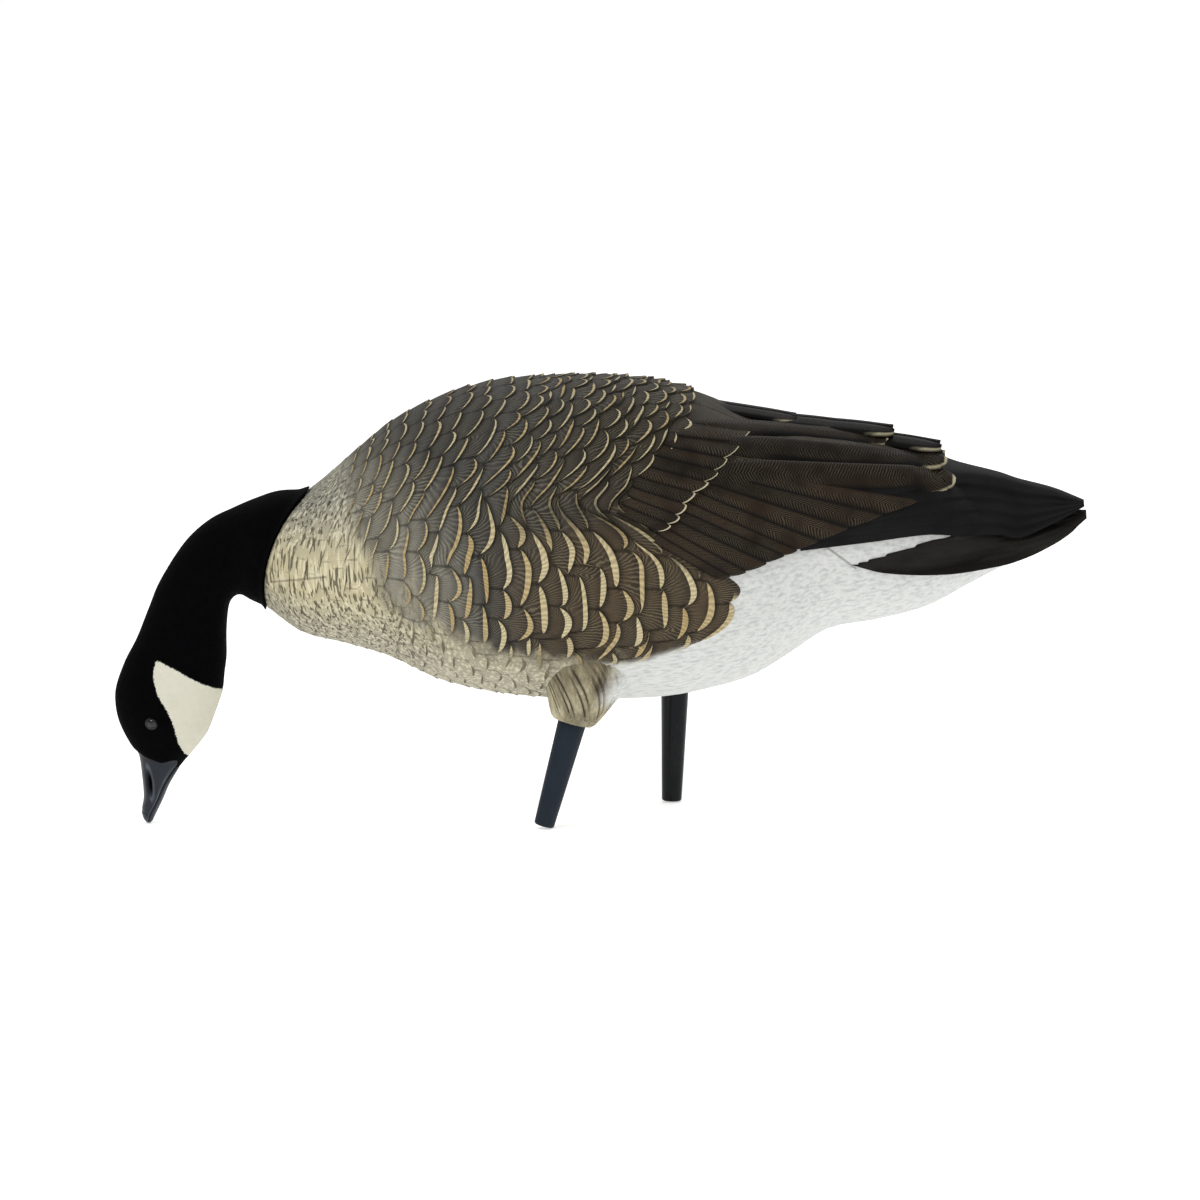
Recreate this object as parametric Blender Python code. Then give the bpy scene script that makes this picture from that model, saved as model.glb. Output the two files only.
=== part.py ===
"""Feeding goose decoy: a moulded feathered body, a flocked head and neck pushed onto it, and two peg legs.

Metres, +Z up. The head is toward -X, the tail toward +X and the left leg toward -Y. The floor is Z = 0, where both
pegs and the tip of the bill touch it.
"""

import math

import bmesh
import bpy
from mathutils import Matrix, Vector

# Clearances between pieces and the neck seat.
SEAT_GAP = 0.0006
SOCKET_GAP = 0.0004
NECK_PROUD = 0.0022
NECK_RIM = 0.0006
SEAT_FORWARD = 0.013

# Body: back x, z; belly x, z; half width. The first row is the neck seat.
BODY_STATIONS = (
    (-0.2205, 0.2500, -0.2526, 0.1600, 0.0425),
    (-0.2037, 0.2645, -0.2266, 0.1420, 0.062),
    (-0.1831, 0.2825, -0.1946, 0.1340, 0.082),
    (-0.1564, 0.3035, -0.1587, 0.1235, 0.100),
    (-0.1236, 0.3200, -0.1236, 0.1070, 0.114),
    (-0.0816, 0.3325, -0.0816, 0.0970, 0.124),
    (-0.0397, 0.3360, -0.0397, 0.0925, 0.128),
    (0.0061, 0.3362, 0.0061, 0.0915, 0.128),
    (0.0443, 0.3325, 0.0443, 0.0926, 0.125),
    (0.0786, 0.3230, 0.0786, 0.0982, 0.119),
    (0.1129, 0.3090, 0.1167, 0.1095, 0.110),
    (0.1434, 0.3020, 0.1473, 0.1280, 0.100),
    (0.1778, 0.2985, 0.1740, 0.1450, 0.089),
    (0.2121, 0.2915, 0.2121, 0.1520, 0.077),
    (0.2464, 0.2770, 0.2503, 0.1622, 0.064),
    (0.2770, 0.2530, 0.2808, 0.1786, 0.050),
    (0.3037, 0.2250, 0.3128, 0.1955, 0.034),
)
BODY_ROUNDNESS = 2.15

# Feather rows on the body, from the seat back: position along the body and height of the step.
FEATHERS_ROUND = 18
COLUMNS_PER_FEATHER = 4
FEATHER_ROWS = (
    (-0.2240, 0.0008),
    (-0.2070, 0.0011),
    (-0.1860, 0.0014),
    (-0.1610, 0.0018),
    (-0.1340, 0.0022),
    (-0.1060, 0.0025),
    (-0.0780, 0.0028),
    (-0.0490, 0.0031),
    (-0.0190, 0.0033),
    (0.0120, 0.0035),
    (0.0430, 0.0037),
    (0.0690, 0.0038),
    (0.0960, 0.0040),
)
SCALLOP_DEPTH = 0.0095
STEP_RUN = 0.0012
EDGE_TUCK = 0.45
MANTLE_SLANT = 0.040
WHITE_FROM_X = -0.025
WHITE_LEVEL = -0.66
# How far the last row is set back, by relative height on the body.
LAST_ROW_SHAPE = (
    (-1.0, -0.080),
    (-0.69, -0.046),
    (-0.45, -0.006),
    (-0.2, 0.0),
    (0.0, -0.008),
    (0.22, -0.034),
    (0.5, -0.012),
    (0.79, 0.022),
    (1.0, 0.038),
)
# Plain rings behind the rows: position, and how much of the last row's shape each keeps.
RUMP_RINGS = (
    (0.118, 0.75),
    (0.143, 0.45),
    (0.172, 0.15),
    (0.203, 0.0),
    (0.240, 0.0),
    (0.275, 0.0),
    (0.3082, 0.0),
)

# Long wing feathers: root, middle and tip (x, z), depth of the tip from the middle plane, half width, thickness.
WING_FEATHERS = (
    ((0.070, 0.212), (0.158, 0.226), (0.247, 0.252), 0.046, 0.0150, 0.0050),
    ((0.070, 0.232), (0.162, 0.245), (0.250, 0.259), 0.040, 0.0140, 0.0060),
    ((0.085, 0.254), (0.178, 0.262), (0.270, 0.262), 0.031, 0.0140, 0.0070),
    ((0.100, 0.275), (0.182, 0.281), (0.264, 0.276), 0.022, 0.0120, 0.0075),
    ((0.095, 0.300), (0.180, 0.298), (0.260, 0.286), 0.0136, 0.0105, 0.0065),
    ((0.080, 0.309), (0.150, 0.305), (0.224, 0.298), 0.0136, 0.0105, 0.0065),
    ((0.060, 0.318), (0.120, 0.309), (0.186, 0.303), 0.0136, 0.0105, 0.0050),
)
# Feathers nearer the middle than this run straight along the ridge, and the others lie on the body.
RIDGE_DEPTH = 0.015
WING_SINK = 0.003
WING_BURY = 0.022
PLATE_WIDTHS = ((0.0, 0.60), (0.3, 0.95), (0.6, 1.0), (0.82, 0.92), (0.95, 0.58), (1.0, 0.20))

# Folded primaries: x; lower edge z and depth; upper edge z and depth.
PRIMARY_STATIONS = (
    (0.151, 0.2150, 0.0905, 0.2500, 0.0780),
    (0.204, 0.2190, 0.0780, 0.2600, 0.0560),
    (0.247, 0.2225, 0.0640, 0.2660, 0.0350),
    (0.275, 0.2200, 0.0545, 0.2655, 0.0150),
    (0.304, 0.2195, 0.0440, 0.2610, 0.0080),
    (0.318, 0.2165, 0.0400, 0.2570, 0.0060),
    (0.346, 0.2270, 0.0260, 0.2500, 0.0050),
    (0.369, 0.2380, 0.0090, 0.2415, 0.0030),
)
PRIMARIES = 4
PRIMARY_STEP = 0.0016

# Tail: x; lower edge z and depth; ridge z; thickness.
TAIL_STATIONS = (
    (0.190, 0.2010, 0.0780, 0.2150, 0.006),
    (0.214, 0.1940, 0.0765, 0.2180, 0.009),
    (0.262, 0.1910, 0.0620, 0.2230, 0.011),
    (0.304, 0.1960, 0.0490, 0.2300, 0.011),
    (0.319, 0.2000, 0.0450, 0.2320, 0.010),
    (0.337, 0.2070, 0.0370, 0.2340, 0.009),
    (0.357, 0.2190, 0.0240, 0.2345, 0.007),
    (0.3708, 0.2290, 0.0100, 0.2345, 0.004),
)
TAIL_FEATHERS = 4
TAIL_STEP = 0.0018

# Legs: side, foot x, lean toward the head, height where the thigh ends.
LEG_DEPTH = 0.063
LEFT_LEG = (-1, -0.0457, math.radians(16.2), 0.081)
RIGHT_LEG = (1, 0.0525, math.radians(2.6), 0.091)
LEG_TOP_RADIUS = 0.0108
LEG_FOOT_RADIUS = 0.0077
LEG_SOCKET_DEPTH = 0.014
LEG_EDGE = 0.0018
LEG_SIDES = 20
# Thigh: distance along the leg above its end, and radius.
THIGH_PROFILE = (
    (0.0, 0.0150),
    (0.0025, 0.0176),
    (0.010, 0.0212),
    (0.024, 0.0275),
    (0.042, 0.0355),
    (0.062, 0.0360),
)
THIGH_SIDES = 16

# Head and neck: front x, z; throat x, z; half width. The first row is the rim on the body.
NECK_STATIONS = (
    (-0.2205, 0.2500, -0.2526, 0.1600, 0.0425),
    (-0.2434, 0.2495, -0.2648, 0.1655, 0.0400),
    (-0.2617, 0.2440, -0.2739, 0.1700, 0.0360),
    (-0.2800, 0.2363, -0.2800, 0.1670, 0.0322),
    (-0.2983, 0.2270, -0.2831, 0.1593, 0.0296),
    (-0.3166, 0.2101, -0.2846, 0.1424, 0.0278),
    (-0.3350, 0.1816, -0.2846, 0.1231, 0.0266),
    (-0.3441, 0.1601, -0.2861, 0.1101, 0.0260),
    (-0.3533, 0.1370, -0.2877, 0.0962, 0.0262),
    (-0.3624, 0.1193, -0.2922, 0.0823, 0.0266),
    (-0.3693, 0.1000, -0.2983, 0.0662, 0.0262),
    (-0.3701, 0.0862, -0.3044, 0.0570, 0.0246),
    (-0.3670, 0.0716, -0.3121, 0.0477, 0.0216),
    (-0.3594, 0.0562, -0.3174, 0.0416, 0.0178),
    (-0.3533, 0.0485, -0.3212, 0.0369, 0.0152),
)
BILL_STATIONS = (
    (-0.3524, 0.0470, -0.3220, 0.0355, 0.0138),
    (-0.3498, 0.0300, -0.3288, 0.0239, 0.0126),
    (-0.3487, 0.0146, -0.3342, 0.0115, 0.0114),
    (-0.3500, 0.0048, -0.3394, 0.0008, 0.0094),
    (-0.3486, -0.0022, -0.3418, -0.0042, 0.0062),
    (-0.3462, -0.0058, -0.3436, -0.0062, 0.0022),
)
# The side view above tips back by this much, about this place on the floor, to stand level.
PITCH = math.radians(1.02)
PITCH_X = 0.0061
# It then moves by this much, so that the whole object is centred on the origin.
CENTRING = -0.0032
NECK_COLUMNS = 24
HEAD_ROUNDNESS = 2.25
EYE_AT = (-0.3440, 0.0716)
EYE_RADIUS = 0.0046
EYE_DEPTH = 0.0215
EYE_OUTWARD = 0.0030
NOSTRIL_AT = (-0.3440, 0.0262)
NOSTRIL_HALF = (0.0022, 0.0016, 0.0080)
NOSTRIL_DEPTH = 0.0112
NOSTRIL_LEAN = math.radians(4)

COLOURS = {
    "painted_body": (0.16, 0.12, 0.08, 1.0),
    "flocked_head": (0.012, 0.012, 0.013, 1.0),
    "peg_plastic": (0.02, 0.024, 0.03, 1.0),
}


def blend(table, key):
    """Smooth curve through the rows of a table, read at a key: the row's values after its key."""
    if key <= table[0][0]:
        return table[0][1:]
    if key >= table[-1][0]:
        return table[-1][1:]
    last = len(table) - 2
    at = next(i for i in range(last + 1) if key <= table[i + 1][0])
    low, high = table[at], table[at + 1]
    before = table[max(at - 1, 0)]
    after = table[min(at + 2, last + 1)]
    span = high[0] - low[0]
    f = (key - low[0]) / span
    values = []
    for p, a, b, n in zip(before[1:], low[1:], high[1:], after[1:]):
        start = span * (b - p) / (high[0] - before[0])
        end = span * (n - a) / (after[0] - low[0])
        cubic = 2 * (a - b) + start + end
        square = 3 * (b - a) - 2 * start - end
        values.append(((cubic * f + square) * f + start) * f + a)
    return tuple(values)


def keyed(stations):
    """The stations with their mean x in front, to read them by."""
    return tuple(((row[0] + row[2]) / 2,) + row for row in stations)


BODY_TABLE = keyed(BODY_STATIONS)


def power(value, exponent):
    return math.copysign(abs(value) ** exponent, value)


def ring_point(station, angle, roundness, forward, grow=0.0, scale=1.0):
    """A point of a tilted section, and the section's outward direction there. Angle 0 is the back."""
    top = Vector((station[0], 0, station[1]))
    bottom = Vector((station[2], 0, station[3]))
    width = station[4]
    axis = (top - bottom) / 2
    c = power(math.cos(angle), 2 / roundness)
    s = power(math.sin(angle), 2 / roundness)
    ahead = Vector((-axis.z, 0, axis.x)).normalized()
    outward = (axis / axis.length_squared * c + Vector((0, -s / width, 0))).normalized()
    middle = (top + bottom) / 2
    place = middle + (axis * c + Vector((0, -width * s, 0))) * scale
    return place + ahead * forward * (s * scale) ** 2 + outward * grow, outward


def last_row_shape(level):
    return blend(LAST_ROW_SHAPE, level)[0]


def body_forward(x):
    """How far the sides stand ahead of the middle: all of it at the seat, none by the shoulders."""
    reach = (x - BODY_TABLE[0][0]) / (BODY_TABLE[3][0] - BODY_TABLE[0][0])
    return SEAT_FORWARD * max(0.0, 1 - reach) ** 2


def body_point(x, angle, height=0.0):
    place, _ = ring_point(blend(BODY_TABLE, x), angle, BODY_ROUNDNESS, body_forward(x), height)
    return place


def body_half_width(x, z):
    """Half width of the body at a point of its side view, or zero outside it."""
    back_x, back_z, belly_x, belly_z, width = blend(BODY_TABLE, x)
    level = (z - (back_z + belly_z) / 2) / ((back_z - belly_z) / 2)
    if abs(level) >= 1:
        return 0.0
    return width * (1 - abs(level) ** BODY_ROUNDNESS) ** (1 / BODY_ROUNDNESS)


def mesh_from(name, bm):
    bmesh.ops.remove_doubles(bm, verts=bm.verts[:], dist=1e-6)
    bmesh.ops.recalc_face_normals(bm, faces=bm.faces[:])
    bmesh.ops.triangulate(bm, faces=bm.faces[:])
    mesh = bpy.data.meshes.new(name)
    bm.to_mesh(mesh)
    bm.free()
    return bpy.data.objects.new(name, mesh)


def loft(name, rings):
    """Closed skin through rings of points, closed at both ends by a fan."""
    bm = bmesh.new()
    rows = [[bm.verts.new(p) for p in ring] for ring in rings]
    count = len(rows[0])
    for row, following in zip(rows, rows[1:]):
        for i in range(count):
            j = (i + 1) % count
            bm.faces.new((row[i], row[j], following[j], following[i]))
    for row in (rows[0], rows[-1]):
        centre = bm.verts.new(sum((v.co for v in row), Vector()) / count)
        for i in range(count):
            bm.faces.new((row[i], row[(i + 1) % count], centre))
    return mesh_from(name, bm)


def feather_ring(position, setback, tuck_height, odd, run):
    """One ring of the body along the tips of a feather row."""
    columns = FEATHERS_ROUND * COLUMNS_PER_FEATHER
    ring = []
    for i in range(columns):
        angle = 2 * math.pi * i / columns
        level = power(math.cos(angle), 2 / BODY_ROUNDNESS)
        phase = (i + (COLUMNS_PER_FEATHER / 2 if odd else 0)) / COLUMNS_PER_FEATHER
        tip = (1 + math.cos(2 * math.pi * phase)) / 2
        reach = (position - BODY_TABLE[0][0]) / 0.060
        mantle = MANTLE_SLANT * min(1.0, reach) * max(0.0, level) * (1 - setback)
        x = position + mantle + setback * last_row_shape(level)
        white = x > WHITE_FROM_X and level < WHITE_LEVEL
        scallop = 0.0 if white else SCALLOP_DEPTH * min(1.0, 0.4 + reach / 3) * (tip - 0.5)
        height = 0.0 if white else tuck_height * (EDGE_TUCK + (1 - EDGE_TUCK) * tip)
        ring.append(body_point(x + scallop + run, angle, height))
    return ring


def seat_ring(columns, scale, ahead=0.0, proud=0.0):
    """A ring of the neck seat, which body and neck share: its edge at scale 1."""
    station = BODY_STATIONS[0]
    axis = Vector((station[0] - station[2], 0, station[1] - station[3]))
    shift = Vector((-axis.z, 0, axis.x)).normalized() * ahead
    ring = []
    for i in range(columns):
        angle = 2 * math.pi * i / columns
        place, _ = ring_point(station, angle, BODY_ROUNDNESS, SEAT_FORWARD, proud, scale)
        ring.append(place + shift)
    return ring


def make_shell():
    columns = FEATHERS_ROUND * COLUMNS_PER_FEATHER
    rings = [seat_ring(columns, 0.5), seat_ring(columns, 1.0)]
    first, last = FEATHER_ROWS[0][0], FEATHER_ROWS[-1][0]
    for row, (position, height) in enumerate(FEATHER_ROWS):
        setback = ((position - first) / (last - first)) ** 1.6
        for run, step in ((0.0, height), (STEP_RUN, 0.0)):
            rings.append(feather_ring(position, setback, step, row % 2, run))
    for position, setback in RUMP_RINGS:
        ring = []
        for i in range(columns):
            angle = 2 * math.pi * i / columns
            level = power(math.cos(angle), 2 / BODY_ROUNDNESS)
            ring.append(body_point(position + setback * last_row_shape(level), angle))
        rings.append(ring)
    return loft("body", rings)


def make_wing_feather(row, side):
    root, middle, tip, tip_depth, half_width, thickness = row
    points = []
    for x, z in (root, middle):
        depth = tip_depth if tip_depth < RIDGE_DEPTH else max(body_half_width(x, z), tip_depth)
        points.append(Vector((x, side * depth, z)))
    points.append(Vector((tip[0], side * tip_depth, tip[1])))
    rings = []
    for f, wide in PLATE_WIDTHS:
        place = points[0] * (1 - f) * (1 - 2 * f) + points[1] * 4 * f * (1 - f) + points[2] * f * (2 * f - 1)
        along = (
            points[0] * (4 * f - 3) + points[1] * (4 - 8 * f) + points[2] * (4 * f - 1)
        ).normalized()
        station = blend(BODY_TABLE, place.x)
        centre_z = (station[1] + station[3]) / 2
        out = Vector((0, place.y, max(0.0, place.z - centre_z) * 0.8))
        out = (out - along * out.dot(along)).normalized()
        across = along.cross(out)
        w = half_width * wide
        t = thickness * (1 - 0.35 * f)
        sink = out * -WING_SINK
        rings.append(
            [
                place + sink - across * w,
                place + sink - across * w * 0.9 + out * t * 0.75,
                place + sink + out * t,
                place + sink + across * w * 0.9 + out * t * 0.75,
                place + sink + across * w,
                place + sink - out * (t * 0.6 + WING_BURY * (1 - f)),
            ]
        )
    return loft("wing_feather", rings)


def roof_section(x, low_z, low_depth, high_z, high_depth, under_z, count, step):
    """Both slopes of a stepped roof across the middle plane, and the underside back."""
    slope = []
    for k in range(count):
        for f, rise in ((k / count, 1.0), ((k + 1) / count - 0.02, 0.0)):
            depth = low_depth + (high_depth - low_depth) * f
            z = low_z + (high_z - low_z) * f
            tilt = Vector((0, high_z - low_z, low_depth - high_depth)).normalized()
            slope.append((depth + tilt.y * rise * step, z + tilt.z * rise * step))
    left = [Vector((x, -d, z)) for d, z in slope]
    right = [Vector((x, d, z)) for d, z in reversed(slope)]
    ridge = Vector((x, 0, max(high_z, high_z + high_depth * 0.4)))
    return [*left, ridge, *right, Vector((x, 0, under_z))]


def make_primaries():
    rings = []
    for x, low_z, low_depth, high_z, high_depth in PRIMARY_STATIONS:
        near_tip = min(1.0, (PRIMARY_STATIONS[-1][0] - x) / 0.05 + 0.2)
        under = low_z + (high_z - low_z) * 0.15
        rings.append(
            roof_section(x, low_z, low_depth, high_z, high_depth, under, PRIMARIES, PRIMARY_STEP * near_tip)
        )
    return loft("primaries", rings)


def make_tail():
    rings = []
    for x, low_z, low_depth, ridge_z, thickness in TAIL_STATIONS:
        near_tip = min(1.0, (TAIL_STATIONS[-1][0] - x) / 0.04 + 0.2)
        rings.append(
            roof_section(
                x, low_z, low_depth, ridge_z, 0.001, ridge_z - thickness, TAIL_FEATHERS, TAIL_STEP * near_tip
            )
        )
    return loft("tail", rings)


def leg_axis(leg):
    side, foot_x, lean, _ = leg
    up = Vector((math.sin(lean), 0, math.cos(lean)))
    lowest = (LEG_FOOT_RADIUS - LEG_EDGE) * math.sin(lean) + LEG_EDGE * (1 - math.cos(lean))
    return Vector((foot_x, side * LEG_DEPTH, lowest)), up


def turned(name, profile, sides, place, up):
    """Solid of revolution: a profile of distance and radius, spun round a leg's axis."""
    turn = up.to_track_quat("Z", "Y").to_matrix().to_4x4()
    rings = []
    for distance, radius in profile:
        ring = []
        for i in range(sides):
            angle = 2 * math.pi * i / sides
            ring.append(Vector((radius * math.cos(angle), radius * math.sin(angle), distance)))
        rings.append([place + turn @ p for p in ring])
    return loft(name, rings)


def thigh_end(leg):
    foot, up = leg_axis(leg)
    return (leg[3] - foot.z) / up.z


def make_thigh(leg):
    foot, up = leg_axis(leg)
    place = foot + up * thigh_end(leg)
    return turned("thigh", THIGH_PROFILE, THIGH_SIDES, place, up)


def leg_radius(leg, distance):
    f = distance / thigh_end(leg)
    return LEG_FOOT_RADIUS + (LEG_TOP_RADIUS - LEG_FOOT_RADIUS) * f


def make_leg(name, leg):
    """A tapered peg: a truncated cone with its edges bevelled, stood on its axis."""
    foot, up = leg_axis(leg)
    length = thigh_end(leg) + LEG_SOCKET_DEPTH
    bm = bmesh.new()
    bmesh.ops.create_cone(
        bm,
        cap_ends=True,
        segments=LEG_SIDES,
        radius1=LEG_FOOT_RADIUS,
        radius2=leg_radius(leg, length),
        depth=length,
    )
    rims = [e for e in bm.edges if abs(e.verts[0].co.z - e.verts[1].co.z) < 1e-6]
    bmesh.ops.bevel(
        bm, geom=rims, offset=LEG_EDGE, affect="EDGES", segments=2, profile=0.5, material=-1
    )
    turn = up.to_track_quat("Z", "Y").to_matrix().to_4x4()
    bmesh.ops.transform(bm, matrix=Matrix.Translation(foot + up * length / 2) @ turn, verts=bm.verts[:])
    return mesh_from(name, bm)


def make_socket(leg):
    foot, up = leg_axis(leg)
    end = thigh_end(leg)
    reach = end + LEG_SOCKET_DEPTH + SOCKET_GAP
    profile = (
        (end - 0.004, leg_radius(leg, end - 0.004) + SOCKET_GAP),
        (reach, leg_radius(leg, reach) + SOCKET_GAP),
    )
    return turned("socket", profile, LEG_SIDES, foot, up)


def neck_rings(stations, start_forward):
    rings = []
    for row, station in enumerate(stations):
        forward = start_forward * max(0.0, 1 - row / 4) ** 2
        ring = []
        for i in range(NECK_COLUMNS):
            angle = 2 * math.pi * i / NECK_COLUMNS
            place, _ = ring_point(station, angle, HEAD_ROUNDNESS, forward)
            ring.append(place)
        rings.append(ring)
    return rings


def make_head():
    seat = [seat_ring(NECK_COLUMNS, scale, SEAT_GAP) for scale in (0.5, 1.0)]
    rim = seat_ring(NECK_COLUMNS, 1.0, SEAT_GAP + NECK_RIM, NECK_PROUD)
    neck = neck_rings(NECK_STATIONS, SEAT_FORWARD)[1:]
    return loft("head_and_neck", [*seat, rim, *neck, *neck_rings(BILL_STATIONS, 0.0)])


def make_ball(name, place, half, lean=0.0):
    bm = bmesh.new()
    bmesh.ops.create_uvsphere(bm, u_segments=12, v_segments=6, radius=1.0)
    shape = Matrix.Translation(place) @ Matrix.Rotation(lean, 4, "Y") @ Matrix.Diagonal((*half, 1))
    bmesh.ops.transform(bm, matrix=shape, verts=bm.verts[:])
    return mesh_from(name, bm)


def level(*objects):
    """Tips pieces drawn in the measured side view back onto the floor, and centres them."""
    pivot = Matrix.Translation((PITCH_X, 0, 0))
    centred = Matrix.Translation((CENTRING, 0, 0))
    for obj in objects:
        obj.data.transform(centred @ pivot @ Matrix.Rotation(PITCH, 4, "Y") @ pivot.inverted())


def combine(target, operation, tools):
    """Joins tools to a target, or cuts them from it, by one live Boolean over their collection."""
    collection = bpy.data.collections.new(f"{target.name}_{operation.lower()}")
    bpy.context.scene.collection.children.link(collection)
    collection.hide_render = True
    for tool in tools:
        collection.objects.link(tool)
        tool.hide_render = True
        tool.display_type = "WIRE"
    modifier = target.modifiers.new(operation.lower(), "BOOLEAN")
    modifier.operation = operation
    modifier.solver = "EXACT"
    modifier.operand_type = "COLLECTION"
    modifier.collection = collection


def material(name):
    made = bpy.data.materials.new(name)
    made.use_nodes = True
    shader = made.node_tree.nodes["Principled BSDF"]
    shader.inputs["Base Color"].default_value = COLOURS[name]
    shader.inputs["Roughness"].default_value = 0.6
    return made


def finish(obj, slot):
    obj.data.materials.clear()
    obj.data.materials.append(slot)
    for polygon in obj.data.polygons:
        polygon.use_smooth = False


def main():
    for obj in list(bpy.data.objects):
        bpy.data.objects.remove(obj)
    pieces = bpy.data.collections.new("goose_decoy")
    bpy.context.scene.collection.children.link(pieces)

    body = make_shell()
    pieces.objects.link(body)
    plumes = [make_tail(), make_primaries()]
    plumes += [make_wing_feather(row, side) for row in WING_FEATHERS for side in (-1, 1)]
    level(body, *plumes)
    combine(body, "UNION", plumes + [make_thigh(leg) for leg in (LEFT_LEG, RIGHT_LEG)])
    combine(body, "DIFFERENCE", [make_socket(leg) for leg in (LEFT_LEG, RIGHT_LEG)])

    head = make_head()
    pieces.objects.link(head)
    eyes = []
    nostrils = []
    for side in (-1, 1):
        eye = (EYE_AT[0], side * (EYE_DEPTH + EYE_OUTWARD - EYE_RADIUS), EYE_AT[1])
        eyes.append(make_ball("eye", eye, (EYE_RADIUS,) * 3))
        nostril = (NOSTRIL_AT[0], side * NOSTRIL_DEPTH, NOSTRIL_AT[1])
        nostrils.append(make_ball("nostril", nostril, NOSTRIL_HALF, NOSTRIL_LEAN))
    level(head, *eyes, *nostrils)
    combine(head, "UNION", eyes)
    combine(head, "DIFFERENCE", nostrils)

    legs = [make_leg("left_leg", LEFT_LEG), make_leg("right_leg", RIGHT_LEG)]
    for leg in legs:
        pieces.objects.link(leg)
    finish(body, material("painted_body"))
    finish(head, material("flocked_head"))
    peg_plastic = material("peg_plastic")
    for leg in legs:
        finish(leg, peg_plastic)


if __name__ == "__main__":
    main()
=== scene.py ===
"""Feeding goose decoy: feathered shell, folded wings, tail, flocked head and neck, bill, eyes and legs."""

import logging
import math
from dataclasses import dataclass, field
from enum import Enum

import bmesh
import bpy
import numpy as np
from mathutils import Matrix, Vector

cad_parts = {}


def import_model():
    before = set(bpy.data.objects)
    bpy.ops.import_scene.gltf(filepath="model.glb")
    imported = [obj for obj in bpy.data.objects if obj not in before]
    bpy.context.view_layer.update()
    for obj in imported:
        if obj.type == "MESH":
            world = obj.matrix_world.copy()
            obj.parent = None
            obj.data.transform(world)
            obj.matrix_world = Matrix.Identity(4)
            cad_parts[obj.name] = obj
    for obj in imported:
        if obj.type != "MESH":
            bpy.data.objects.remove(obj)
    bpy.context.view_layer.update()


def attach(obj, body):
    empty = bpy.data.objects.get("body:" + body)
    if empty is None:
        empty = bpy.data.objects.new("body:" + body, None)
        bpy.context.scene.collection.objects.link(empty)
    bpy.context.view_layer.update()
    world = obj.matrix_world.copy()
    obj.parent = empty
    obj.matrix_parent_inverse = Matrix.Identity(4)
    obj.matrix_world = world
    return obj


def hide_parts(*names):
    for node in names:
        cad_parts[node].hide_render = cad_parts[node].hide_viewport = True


LOG = logging.getLogger("goose_decoy")

Rgb = tuple[float, float, float]
Pair = tuple[float, float]
Table = tuple[Pair, ...]
Socket = bpy.types.NodeSocket
EVEN = (1.0, 1.0, 1.0)

# Pairs of whole numbers are turned into chance values by a sine of these turns, times this gain.
CHANCE_TURNS = (127.1, 311.7, 74.7)
CHANCE_GAIN = 43758.5453

# The side view the sizes were measured in tips back by PITCH about PITCH_X, then moves by CENTRING.
PITCH = math.radians(1.02)
PITCH_X = 0.0061
CENTRING = -0.0032

# Body: back x, z; belly x, z; half width. The first row is the neck seat.
BODY_STATIONS = (
    (-0.2205, 0.2500, -0.2526, 0.1600, 0.0425),
    (-0.2037, 0.2645, -0.2266, 0.1420, 0.062),
    (-0.1831, 0.2825, -0.1946, 0.1340, 0.082),
    (-0.1564, 0.3035, -0.1587, 0.1235, 0.100),
    (-0.1236, 0.3200, -0.1236, 0.1070, 0.114),
    (-0.0816, 0.3325, -0.0816, 0.0970, 0.124),
    (-0.0397, 0.3360, -0.0397, 0.0925, 0.128),
    (0.0061, 0.3362, 0.0061, 0.0915, 0.128),
    (0.0443, 0.3325, 0.0443, 0.0926, 0.125),
    (0.0786, 0.3230, 0.0786, 0.0982, 0.119),
    (0.1129, 0.3090, 0.1167, 0.1095, 0.110),
    (0.1434, 0.3020, 0.1473, 0.1280, 0.100),
    (0.1778, 0.2985, 0.1740, 0.1450, 0.089),
    (0.2121, 0.2915, 0.2121, 0.1520, 0.077),
    (0.2464, 0.2770, 0.2503, 0.1622, 0.064),
    (0.2770, 0.2530, 0.2808, 0.1786, 0.050),
    (0.3037, 0.2250, 0.3128, 0.1955, 0.034),
)
# Head and neck: front x, z; throat x, z; half width. The first row is the rim on the body.
NECK_STATIONS = (
    (-0.2205, 0.2500, -0.2526, 0.1600, 0.0425),
    (-0.2434, 0.2495, -0.2648, 0.1655, 0.0400),
    (-0.2617, 0.2440, -0.2739, 0.1700, 0.0360),
    (-0.2800, 0.2363, -0.2800, 0.1670, 0.0322),
    (-0.2983, 0.2270, -0.2831, 0.1593, 0.0296),
    (-0.3166, 0.2101, -0.2846, 0.1424, 0.0278),
    (-0.3350, 0.1816, -0.2846, 0.1231, 0.0266),
    (-0.3441, 0.1601, -0.2861, 0.1101, 0.0260),
    (-0.3533, 0.1370, -0.2877, 0.0962, 0.0262),
    (-0.3624, 0.1193, -0.2922, 0.0823, 0.0266),
    (-0.3693, 0.1000, -0.2983, 0.0662, 0.0262),
    (-0.3701, 0.0862, -0.3044, 0.0570, 0.0246),
    (-0.3670, 0.0716, -0.3121, 0.0477, 0.0216),
    (-0.3594, 0.0562, -0.3174, 0.0416, 0.0178),
    (-0.3533, 0.0485, -0.3212, 0.0369, 0.0152),
)
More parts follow.
